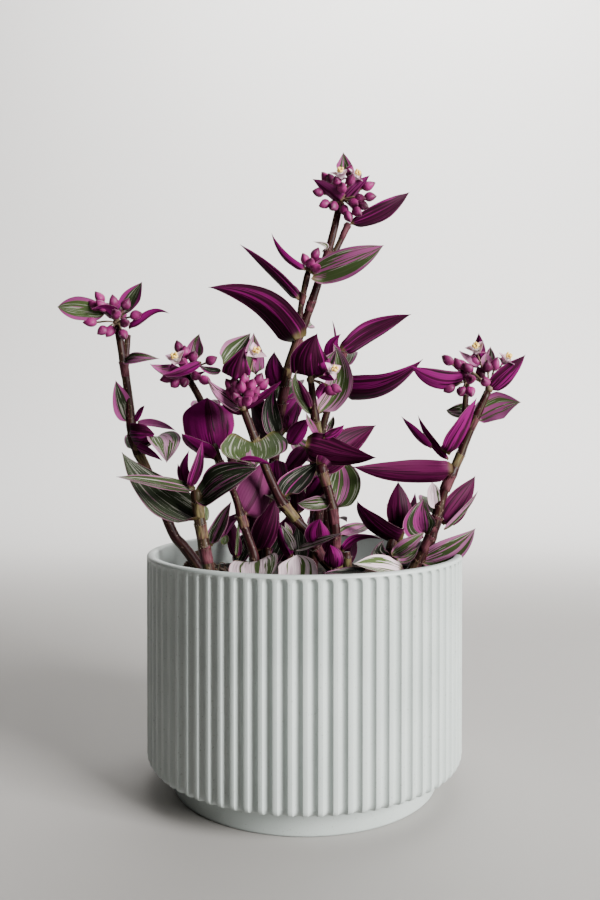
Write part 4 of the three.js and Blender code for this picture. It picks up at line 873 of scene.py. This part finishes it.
def add_tube(heap, curve, radii, sides, **notes):
    """A round rod along a curve, closed at both ends."""
    slopes = unit(np.gradient(curve, axis=0))
    across = unit(np.cross(slopes[0], (0.2, 1, 0.1)))
    lengths = np.concatenate([[0], np.cumsum(np.linalg.norm(np.diff(curve, axis=0), axis=1))])
    turns = np.linspace(0, 2 * np.pi, sides, endpoint=False)
    corners, bark_notes = [], []
    for place, slope, radius, length in zip(curve, slopes, radii, lengths):
        across = unit(across - slope * across.dot(slope))
        third = np.cross(slope, across)
        corners.append(place + radius * (np.outer(np.cos(turns), across) + np.outer(np.sin(turns), third)))
        bark_notes.append(ring_notes(turns, length / 40))
    heap.add(np.concatenate(corners), capped(len(curve), sides), bark=np.concatenate(bark_notes), **notes)


def square_ways(way):
    """Two directions square to a way and to each other."""
    aside = way.orthogonal().normalized()
    return aside, way.cross(aside)


def add_hairs(heap, roots, outs, length, wide=0.05, **notes):
    """Short soft hairs: thin spikes from roots, along outs."""
    for root, out in zip(roots, outs):
        out = Vector(out).normalized()
        aside, third = square_ways(out)
        ways = [aside * math.cos(t) + third * math.sin(t) for t in (0, 2.09, 4.19)]
        corners = [Vector(root) + wide * way for way in ways]
        corners.append(Vector(root) + out * length * draw.uniform(0.6, 1.2))
        heap.add(corners, [(0, 2, 1), (0, 1, 3), (1, 2, 3), (2, 0, 3)], bark=zero, **notes)


def add_sheath(heap, path, height, radius, long, seed, green):
    """A pale collar round the stem under a node, with hairs on its slanted upper rim."""
    low = np.array(place_at(path, height - long))
    top = np.array(place_at(path, height + 0.6))
    slope = unit(top - low)
    across = unit(np.cross(slope, (0.3 * math.sin(seed), 1, 0.2)))
    third = np.cross(slope, across)
    turns = np.linspace(0, 2 * np.pi, sheath_sides, endpoint=False)
    lean = 0.9 * np.cos(turns - seed * 1.7)
    corners, notes = [], []
    for part, proud in sheath_profile:
        rise = part * np.linalg.norm(top - low) + lean * part
        spokes = np.outer(np.cos(turns), across) + np.outer(np.sin(turns), third)
        corners.append(low + np.outer(rise, slope) + (radius + proud) * spokes)
        notes.append(ring_notes(turns, part * 0.5 + seed))
    heap.add(np.concatenate(corners), capped(len(sheath_profile), sheath_sides), bark=np.concatenate(notes),
             kind=(sheath_kind, green, seed % 1))
    rim = corners[sheath_rim]
    add_hairs(heap, rim, unit(rim - top) * 0.5 + slope, 1.3, kind=(hair_kind, 0, 0))


def leaf_skin():
    """Both sides of every leaf. The stripes run along the blade, from its base to its tip."""
    skin, paint, shader = finish("leaf_skin", roughness=0.5, Specular_IOR_Level=0.06)
    u, v, top = paint.note("blade").parts()
    pink, pale, dark = paint.note("tint").parts()
    margin, seed, size = paint.note("mark").parts()

    def streaks(tight, shift, drift=0.7):
        """Noise that is drawn out along the blade."""
        across = v * tight * (0.4 + size * 0.6) + seed * shift
        place = paint.make("ShaderNodeCombineXYZ", {}, {0: across, 1: u * drift + seed * 3.1})
        sockets = {"Vector": place, "Scale": 1.0, "Detail": 1.5, "Roughness": 0.5}
        return paint.make("ShaderNodeTexNoise", {"noise_dimensions": "2D"}, sockets)

    edge = abs(v)
    broad = streaks(2.6, 7.3)
    fine = streaks(9.0, 3.7, 1.2)
    thin = streaks(22.0, 5.9, 1.5)
    mixed = broad * (0.75 - dark * 0.3) + fine * (0.25 + dark * 0.3)
    level = 0.68 - pink * 0.36
    stripe = (mixed - level).rise(-0.006, 0.006)
    rim = (edge + (fine - 0.5) * 0.3 + (u - 0.6) * 0.12 + margin - 1).rise(-0.02, 0.02)
    white_lines = (fine * 0.6 + thin * 0.4 - 0.575 + pale * 0.03).rise(0.0, 0.012) * (0.3 + pale * 0.6)
    green = dark.colours((0.058, 0.091, 0.027), (0.007, 0.009, 0.006))
    light_green = dark.colours((0.09, 0.12, 0.05), (0.020, 0.025, 0.016))
    green = (((thin - 0.3) * 1.6).rise(0.1, 0.6) * 0.3).colours(green, light_green)
    green = white_lines.colours(green, (0.44, 0.43, 0.38))
    rose = (pale * (1.1 + broad * 0.7)).colours((0.165, 0.01, 0.102), (0.38, 0.19, 0.30))
    rose = (pale - 0.45).rise(0, 0.5).colours(rose, (0.58, 0.47, 0.51))
    rose = ((thin - 0.42).rise(0, 0.2) * 0.35).colours(rose, (0.15, 0.022, 0.09))
    above = stripe.most(rim).colours(green, rose)
    soft = (mixed - level + 0.02).rise(-0.012, 0.012).most(rim * 0.95)
    rib = (0.15 + (fine - 0.5) * 0.4 - edge - u * 0.06).rise(0, 0.02) * pink.rise(0.4, 0.5)
    maroon = fine.rise(0.35, 0.65).colours((0.014, 0.0009, 0.007), (0.036, 0.0018, 0.018))
    magenta = broad.rise(0.3, 0.7).colours((0.060, 0.0006, 0.032), (0.130, 0.0012, 0.078))
    magenta = ((dark - 0.93).rise(0, 0.05) * 0.85).colours(magenta, (0.052, 0.003, 0.025))
    magenta = pale.colours(magenta, (0.105, 0.024, 0.070))
    below = (soft * (1 - rib * 0.9)).colours(maroon, magenta)
    both = top.rise(0.45, 0.55).colours(below, above)
    both = ((edge - 0.968).rise(0, 0.01) * 0.7).colours(both, (0.26, 0.14, 0.17))
    both = ((0.07 - u).rise(0, 0.05) * 0.7).colours(both, (0.075, 0.062, 0.02))
    wire(both, shader, "Base Color")
    wire(0.42 + fine * 0.16, shader, "Roughness")
    ribs = paint.maths("SINE", v * size * 40.0)
    bump(ribs * 0.35 + fine * 1.2, 0.16, 0.0006, shader)
    return skin


def stem_rind():
    """The rind of every stem, its sheaths and their hairs."""
    rind, paint, shader = finish("stem_rind", roughness=0.44, Specular_IOR_Level=0.10)
    bark_place = paint.note("bark")
    kind, greenish, hue = paint.note("kind").parts()
    streak = bark_place.noise(3.5, 3.0)
    cloud = bark_place.noise(1.3, 2.0)
    freckle = paint.spot().noise(650.0, 1.0)
    brown = streak.rise(0.35, 0.7).colours((0.010, 0.0015, 0.003), (0.034, 0.007, 0.010))
    olive = streak.rise(0.35, 0.7).colours((0.022, 0.018, 0.009), (0.065, 0.052, 0.024))
    body = (greenish + (cloud - 0.5) * 1.4).rise(0.2, 0.8).colours(brown, olive)
    body = (freckle.rise(0.66, 0.7) * 0.5).colours(body, (0.16, 0.12, 0.09))
    rosy = streak.rise(0.3, 0.7).colours((0.032, 0.007, 0.012), (0.100, 0.032, 0.042))
    leafy = streak.rise(0.3, 0.7).colours((0.045, 0.036, 0.015), (0.14, 0.115, 0.05))
    sheath = (greenish + (hue - 0.5) * 0.9 + (cloud - 0.5)).rise(0.25, 0.75).colours(rosy, leafy)
    tone = kind.rise(0.4, 0.6).colours(body, sheath)
    tone = kind.rise(1.4, 1.6).colours(tone, (0.55, 0.48, 0.42))
    wire(tone, shader, "Base Color")
    wire(0.3 + streak * 0.2 + kind.rise(0.4, 0.6) * 0.15, shader, "Roughness")
    bump(streak, 0.35, 0.0005, shader)
    return rind


leaf_finish = leaf_skin()
rind = stem_rind()
for stem_number, stem in enumerate(stems):
    rods, blades = Heap(), Heap()
    foot_thick, top_thick = stem.thick[0] * 0.97, stem.thick[1] * 0.84
    for number, path in enumerate(stem.paths):
        if number == 0:
            root = (*path[0][:2], soil_height - root_depth)
            route, thick = [root, *path], (foot_thick, top_thick)
        else:
            route, thick = path, (top_thick * 0.9, top_thick * 0.8)
        end = np.array(route[-1], float)
        route = [*route[:-1], tuple(end + stem_end * unit(end - np.array(route[-2])))]
        curve, parts = smooth_path(route)
        radii = thick[0] + (thick[1] - thick[0]) * parts
        nodes = sorted({leaf.at for leaf in stem.leaves if leaf.on == number})
        for height in nodes:
            radii = radii * (1 + 0.14 * np.exp(-((curve[:, 2] - height) / 2.2) ** 2))
        add_tube(rods, curve, radii, 16, kind=(stem_kind, stem.green, (stem_number * 0.37) % 1))
        last = 0
        for height in nodes:
            if height - last > sheath_spacing and height > soil_height + 5:
                here = float(np.interp(height, curve[:, 2], radii))
                long = min(8.5, 3.2 + 0.9 * here + 3 * math.sin(7 * height) ** 2)
                add_sheath(rods, route, height, here / 1.1, long, height * 0.37 + stem_number, stem.green)
                last = height
    for number, leaf in enumerate(stem.leaves):
        base = place_at(stem.paths[leaf.on], leaf.at)
        add_blade(blades, base, leaf, top_thick * 0.4, (stem_number * 1.31 + number * 0.73) % 5)
    rods.piece(stem.name + "_rods", rind, stem.name, "foliage")
    blades.piece(stem.name + "_leaves", leaf_finish, stem.name, "foliage")

# The flower heads sit on the ends of the stems. Each is a cluster of small leaves, hairy pink buds
# on thin stalks, and a few open flowers with three pale petals and yellow anthers.
core_radius = 3.0
seat_gap = 0.3
bud_length = 8.0
bud_width = 5.6
bud_sides = 15
bud_rings = (0, 0.05, 0.14, 0.26, 0.4, 0.55, 0.7, 0.83, 0.93, 1.0)
petal_length, petal_width = 8.0, 6.2
sepal_length, sepal_width = 5.4, 3.2
anther_radius = 0.75
ball_sides, ball_rings = 8, 6
stalk_kind, bud_kind, fuzz_kind, petal_kind, filament_kind, anther_kind = range(6)

# Places in a row are counted from the middle of the head. A flower has its place and the way it
# looks, and a bud only its place.
Head = namedtuple("Head", "name stem on bracts buds flowers")


def bract(*sizes, **looks):
    """A small leaf of a flower head, which has no height on a stem."""
    return Leaf(0, *sizes, **looks)


heads = [
    Head("flowers_tall", "stem_tall", 0, [
        bract((1.5, 4, 29), 10, (0, -0.9, 0.3), -3, pink=0.1, pale=0.1, dark=0.7, margin=0.45,
              bow=(0.5, 0, 0), foot=(1.5, 0, 14.5)),
        bract((-17, -10, 8.5), 10.5, (0.2, 0.5, 0.8), 0, pink=1, pale=0.35, dark=0.4, margin=0.4, cup=20,
              root=1, foot=(0.5, -6, -4)),
        bract((16.5, -6, 12), 9.5, (-0.2, 0.5, 0.8), 0, pink=0.7, pale=0.3, dark=0.5, margin=0.2, cup=20,
              root=1, foot=(2.5, 0, -2)),
    ], [
        (-14, -6, 2), (-10, -6, -5), (-5, -8, -7), (4, -6, -12), (7, -8, -5), (13, -6, -6), (9, -8, -10),
        (17, -4, 0), (16, -2, 7), (5, -10, 8), (-6, 0, 12), (-9, 4, 14), (10, 4, 15), (0, -12, 3),
        (-3, -9, 7), (11, -7, -2), (2, -4, -8), (5, -2, 16),
    ], [
        ((-0.5, -9, 8), (-0.1, -0.5, 0.85)),
        ((6, -3, 10), (0.6, -0.5, 0.6)),
    ]),
    Head("flowers_side_shoot", "stem_tall", 2, [], [
        (4, -2, 8), (-2, -3, 4), (1, -5, 2), (6, -3, 3), (4, -5, -1), (1, 3, 4),
    ], []),
    Head("flowers_far_left", "stem_far_left", 0, [
        bract((-33, -4, 8), 14.5, (0, -1, 0.1), 0, pink=0.12, pale=0.1, dark=0.4, margin=0.35, root=0.5,
              bow=(0, -3, 0), belly=0.5, foot=(-7, 0, 5)),
        bract((12.5, 10, 25), 15, (-0.3, -0.9, 0.4), -2, pink=0.1, dark=0.8, margin=0.4, bow=(-1, 0, 0.5),
              belly=0.45, foot=(2.5, 0, 2)),
        bract((31, -6, 4), 7.5, (-0.2, 0.5, 0.8), 0, pink=0.85, margin=0.3, fold=30, root=0.6, bend=-1.5,
              bow=(-0.5, 0, 2.5), foot=(6, 0, -4.5)),
        bract((-11, -14, 5), 13, (0.2, 0.5, 0.8), 3, pink=0.9, margin=0.3),
    ], [
        (-10, 0, 14), (-12, -4, 9), (-7, -7, 8), (-1, -4, 11), (6, -3, 10), (12, -6, 3), (2, -11, 3),
        (7, -10, -2), (-14, -5, -1), (-7, -6, -6), (-3, -4, -6), (5, -6, -8), (-7, 8, 10), (1, 9, 6),
    ], []),
    Head("flowers_left_middle", "stem_left_middle", 0, [
        bract((6.5, 8, 23.5), 11.5, (-0.2, -0.9, 0.3), -2, pink=0.4, pale=0.1, dark=0.7, margin=0.2,
              bow=(-2, 0, 0), foot=(6, 0, 6)),
        bract((-16.5, -20, 3.5), 12, (0, -0.85, 0.5), -2, pink=0.6, pale=0.1, dark=0.4, margin=0.3,
              cup=25, bow=(-0.5, 0, -1.5)),
        bract((13, -12, 1), 9, (0, -0.3, 0.95), -2, pink=0.5, pale=0.3, margin=0.3),
        bract((-10, -19.5, -2.5), 5.5, to_back, 0, pink=0.6, dark=0.8, root=0.6, bow=(0, 0, -1.5),
              foot=(11, -11.5, 5.5)),
    ], [
        (5, -8, 9), (0, -10, 5), (15, -6, 7), (0, -4, 11), (-5, -8, -6), (0, -8, -6), (-10, -4, -3),
        (7, -8, -2), (11, -6, -4), (3, -6, 3), (-4, -2, 15),
    ], [
        ((-3, -11, 5), (-0.2, -0.75, 0.55)),
    ]),
    Head("flowers_heart_stem", "stem_heart_leaf", 0, [
        bract((3, 17, 42), 16, (0.1, -0.95, 0.2), -3, pink=0.15, pale=0.4, margin=0.3, root=0.4,
              point=1.4, belly=0.45, foot=(-12.5, 13, 23.5)),
        bract((5, 15, 42), 12, (0.1, -0.95, 0.2), -3, pink=0.35, pale=0.2, margin=0.25, root=0.7,
              bow=(-0.5, 0, 0), foot=(6.5, 9, 17)),
        bract((2, -11, 31.5), 18, (-0.1, 0.9, 0.2), -3, dark=0.8, margin=0.25, fold=25, root=1,
              point=1.15, bow=(-1, 0, 0), belly=0.3, foot=(-3.5, -9, 12)),
        bract((21, -11, 13.5), 8.5, (-0.3, 0.5, 0.8), 0, pink=0.9, margin=0.3, fold=35, root=0.5,
              bow=(1.5, 0, -1), foot=(1, -1, -2.5)),
        bract((-17.5, -13, 14.5), 14, (0.3, -0.6, 0.7), -2, pale=0.3, dark=0.8, margin=0.3, cup=30,
              root=0.5, bow=(-1.5, 0, -1), foot=(-0.5, -1, -2.5)),
        bract((-11.5, 1, 1.5), 5, to_back, 0, pink=0.1, dark=1, bow=(0, 0, -0.5), foot=(1, -1, -3.5)),
        bract((-23, -7, 22), 5, to_front, 0, pink=0.2, dark=1, margin=0.2, bow=(0, 0, -1.5),
              foot=(-10, -7, 18.5)),
    ], [
        (4, -10, 7), (9, -6, 15), (11, -4, 12), (-1, -9, 3), (3, -10, 3), (-3, -8, 5), (6, -8, 5),
        (0, -10, 10), (-3, -8, 9), (5, -9, 11), (-6, -4, 7), (-7, -4, 12), (1, -7, 14), (7, -6, 8),
        (-4, -5, 13),
    ], [
        ((6, -8, 26), (0.3, -0.7, 0.5)),
    ]),
    Head("flowers_centre", "stem_centre", 0, [
        bract((3.5, -12, 24.5), 23, (0, 0.9, 0.3), -2, pink=0.22, dark=0.9, margin=0.12, root=1,
              point=1.3, bow=(-2.5, 0, 0.5), belly=0.4, foot=(0, 0, -0.5)),
        bract((15, 8, 18), 13, (-0.5, -0.8, 0.2), -3, pink=0.4, pale=0.4, dark=0.5, margin=0.3),
        bract((4.5, -6.5, -12), 5.5, to_back, 0, pink=0.5, dark=0.9, root=0.9, bow=(-1.5, 0, 0.5),
              foot=(9, -6.5, -3)),
        bract((15, -5.5, -0.5), 13.5, (0, 0.9, 0.3), 0, pink=0.8, dark=0.7, root=1, point=1.2,
              bow=(-2, 0, -2.5), belly=0.2, foot=(3, -3.5, 13)),
    ], [
        (11, -7, -7), (14, -8, -6), (9, -3, 4), (3, 2, 5),
    ], [
        ((10, -8, 3), (0.5, -0.7, 0.3)),
    ]),
    Head("flowers_right", "stem_right", 0, [
        bract((-5, 4, 32), 7, (0.4, 0.8, 0.2), -2, pink=0.6, dark=0.8, margin=0.3, foot=(-4.5, 0, 14)),
        bract((4, 14, 25.5), 8, (-0.3, -0.8, 0.4), -3, pink=0.2, pale=0.2, dark=0.8, margin=0.25, point=3,
              bow=(-0.5, 0, 0), foot=(0, 0, 8)),
        bract((19, -6, 18.5), 13.5, (-0.35, 0.9, 0.3), -2, pink=0.25, dark=0.9, margin=0.2,
              foot=(-0.5, 0, -2.5)),
        bract((-18.5, -6, 21), 6, (0, -0.8, 0.5), 0, pink=1, pale=0.3, dark=0, root=0.7,
              bow=(-0.5, 0, -1), foot=(-5.5, -4, 12.5)),
        bract((-2, -1, 20), 7.5, to_front, 0, pink=1, pale=0.3, dark=0, root=0.6, point=3,
              foot=(-2, -1, 8)),
    ], [
        (-25, -5, 16), (-17, -7, 13), (-14, -9, 11), (-15, -5, 8), (-9, -3, 15), (-3, -9, 12),
        (2, -6, 13), (-5, -12, 3), (-6, -4, 9),
    ], [
        ((-8, -6, 19), (-0.3, -0.6, 0.7)),
        ((7, -2, 14), (0.5, -0.5, 0.7)),
    ]),
    Head("flowers_right_side", "stem_right", 1, [
        bract((-33.5, -12, 7), 12, (0, 0.9, 0.45), -3, pink=0.55, pale=0.1, dark=0.8, margin=0.2, fold=5,
              point=2.4, bow=(0, 0, -4), belly=0.45, foot=(1, 0, 2.5)),
    ], [
        (-12, -6, 11), (-5, -8, -7), (0, -9, -7), (-11, -4, -5), (0, -10, 0), (-6, -4, 9),
    ], []),
]


def middle_of(head):
    """The middle of a head, just past the end of its stem."""
    path = next(stem for stem in stems if stem.name == head.stem).paths[head.on]
    before, end = (Vector(place) for place in path[-2:])
    return end + (end - before).normalized() * (core_radius + seat_gap)


def random_way():
    return Vector((draw.uniform(-1, 1), draw.uniform(-1, 1), draw.uniform(-1, 1)))


def add_bud(heap, centre, place, seed):
    """A pointed bud with three ridged sepals, on a thin hairy stalk that grows from the head."""
    out = Vector(place)
    axis = out.normalized()
    foot = centre + out * (1 - bud_length * 0.5 / out.length)
    root = centre + axis * 0.8
    sag = Vector((0, 0, -0.05)) * (foot - root).length
    curve, _ = smooth_path([tuple(root), tuple((root + foot) / 2 - sag), tuple(foot + axis * 0.5)], 4)
    add_tube(heap, curve, np.linspace(0.5, 0.62, len(curve)), 7, sprig=(stalk_kind, 0, seed))
    aside, third = square_ways(axis)
    corners, notes, outs = [], [], []
    length = bud_length * (0.92 + 0.16 * (seed % 1))
    for t in bud_rings:
        radius = bud_width / 2 * math.sin(math.pi * min(t ** 0.8, 0.985)) ** 0.75
        for k in range(bud_sides):
            turn = 2 * math.pi * k / bud_sides
            ridge = 1 + 0.09 * math.cos(3 * turn + seed) * math.sin(math.pi * t)
            way = aside * math.cos(turn) + third * math.sin(turn)
            corners.append(foot + axis * (t * length) + way * radius * ridge)
            outs.append(way + axis * 0.4)
            notes.append((bud_kind, t, seed))
    heap.add(corners, capped(len(bud_rings), bud_sides), bark=zero, sprig=notes)
    picks = [draw.randrange(bud_sides, 7 * bud_sides) for _ in range(16)]
    hair = (fuzz_kind, 0, seed)
    add_hairs(heap, [corners[i] for i in picks], [outs[i] for i in picks], 0.8, sprig=hair)
    along = [draw.uniform(0.1, 0.9) for _ in range(8)]
    ways = [random_way() for _ in along]
    add_hairs(heap, [root.lerp(foot, a) for a in along], ways, 1.1, sprig=hair)


def add_petal(heap, root, out, face, long, wide, kind):
    """One petal or sepal, as a small cupped blade."""
    leaf = Leaf(0, tuple(root + out * long), wide, tuple(face), 0.8, fold=6, cup=35)
    small = Heap()
    add_blade(small, tuple(root), leaf, 0.1, 0.0, rows=9, columns=7, thick=0.3)
    notes = [(kind, along, across) for along, across, skin in small.notes["blade"]]
    heap.add(small.corners, small.faces, bark=zero, sprig=notes)


def ball(centre, radius):
    """A small round ball's corners and faces."""
    corners = []
    for angle in np.linspace(0.15, math.pi - 0.15, ball_rings):
        for turn in np.linspace(0, 2 * math.pi, ball_sides, endpoint=False):
            out = math.sin(angle)
            way = Vector((out * math.cos(turn), out * math.sin(turn), -math.cos(angle)))
            corners.append(Vector(centre) + radius * way)
    return corners, capped(ball_rings, ball_sides)


def add_flower(heap, centre, spot, look, seed):
    """An open flower: three pale petals, three sepals behind them, and six hairy stamens."""
    spot = Vector(spot)
    eye = centre + spot
    look = Vector(look).normalized()
    curve, _ = smooth_path([tuple(centre + spot.normalized()), tuple(centre.lerp(eye, 0.6)), tuple(eye)], 4)
    add_tube(heap, curve, np.full(len(curve), 0.55), 7, sprig=(stalk_kind, 0, seed))
    aside, third = square_ways(look)
    for k in range(3):
        turn = 2 * math.pi * k / 3 + seed
        way = aside * math.cos(turn) + third * math.sin(turn)
        out = (way * 0.85 + look * 0.62).normalized()
        add_petal(heap, eye, out, look - way * 0.4, petal_length, petal_width, petal_kind)
        turn += math.pi / 3
        way = aside * math.cos(turn) + third * math.sin(turn)
        out = (way * 0.95 + look * 0.15).normalized()
        add_petal(heap, eye - look * 0.5, out, look - way * 0.2, sepal_length, sepal_width, bud_kind)
    for k in range(6):
        turn = math.pi * k / 3 + seed * 2
        way = aside * math.cos(turn) + third * math.sin(turn)
        tip = eye + look * (6.6 if k % 2 else 5.4) + way * 1.3
        curve, _ = smooth_path([tuple(eye), tuple(eye.lerp(tip, 0.5) - way * 0.3), tuple(tip)], 4)
        add_tube(heap, curve, np.full(len(curve), 0.17), 5, sprig=(filament_kind, 0, seed))
        for side in (-0.42, 0.42):
            corners, faces = ball(tip + look.cross(way) * side, anther_radius)
            heap.add(corners, faces, bark=zero, sprig=(anther_kind, 0, seed))
        along = [draw.uniform(0.1, 0.85) for _ in range(34)]
        ways = [look * 0.6 + random_way() for _ in along]
        add_hairs(heap, [eye.lerp(tip, a) for a in along], ways, 1.9, 0.09, sprig=(filament_kind, 0, seed))


def bud_and_petal():
    """Stalks, buds, hairs, petals, filaments and anthers, told apart by their kind."""
    bloom, paint, shader = finish("bud_and_petal", roughness=0.45, Specular_IOR_Level=0.18)
    kind, part, seed = paint.note("sprig").parts()
    mottle = paint.spot().noise(330.0, 3.0)
    patch = paint.spot().noise(90.0, 2.0)
    stalk_tone = mottle.rise(0.35, 0.65).colours((0.07, 0.055, 0.025), (0.16, 0.10, 0.075))
    lively = seed - paint.maths("FLOOR", seed)
    pinkness = patch.rise(0.3, 0.7) * 0.4 + lively * 0.7
    bud_tone = pinkness.colours((0.020, 0.002, 0.008), (0.25, 0.018, 0.132))
    bud_tone = ((mottle - 0.45).rise(0, 0.2) * 0.4).colours(bud_tone, (0.24, 0.045, 0.15))
    bud_tone = ((part - 0.72).rise(0, 0.2) * 0.6).colours(bud_tone, (0.025, 0.003, 0.010))
    bud_tone = ((0.18 - part).rise(0, 0.15) * 0.6).colours(bud_tone, (0.11, 0.07, 0.045))
    petal_tone = (part * 0.9).colours((0.72, 0.62, 0.65), (0.46, 0.20, 0.36))
    tone = stalk_tone
    tones = (bud_tone, (0.45, 0.33, 0.33), petal_tone, (0.85, 0.80, 0.76), (0.85, 0.58, 0.13))
    for number, next_tone in enumerate(tones):
        tone = kind.rise(number + 0.4, number + 0.6).colours(tone, next_tone)
    wire(tone, shader, "Base Color")
    bump(mottle, 0.25, 0.0005, shader)
    return bloom


bloom = bud_and_petal()
for head_number, head in enumerate(heads):
    centre = middle_of(head)
    small_leaves, sprigs = Heap(), Heap()
    for number, row in enumerate(head.bracts):
        leaf = row._replace(tip=tuple(centre + Vector(row.tip)))
        add_blade(small_leaves, tuple(centre), leaf, 1.0, (head_number * 1.7 + number * 0.9) % 5, rows=26)
    if head.bracts:
        small_leaves.piece(head.name + "_bracts", leaf_finish, head.name, "flower")
    corners, faces = ball(centre - Vector((0, 0, 0.3)), 2.5)
    sprigs.add(corners, faces, bark=zero, sprig=(stalk_kind, 0, 0))
    for number, spot in enumerate(head.buds):
        add_bud(sprigs, centre, spot, head_number * 0.37 + number * 0.61)
    for number, (spot, look) in enumerate(head.flowers):
        add_flower(sprigs, centre, spot, look, head_number + number * 0.8)
    sprigs.piece(head.name + "_buds", bloom, head.name, "flower")
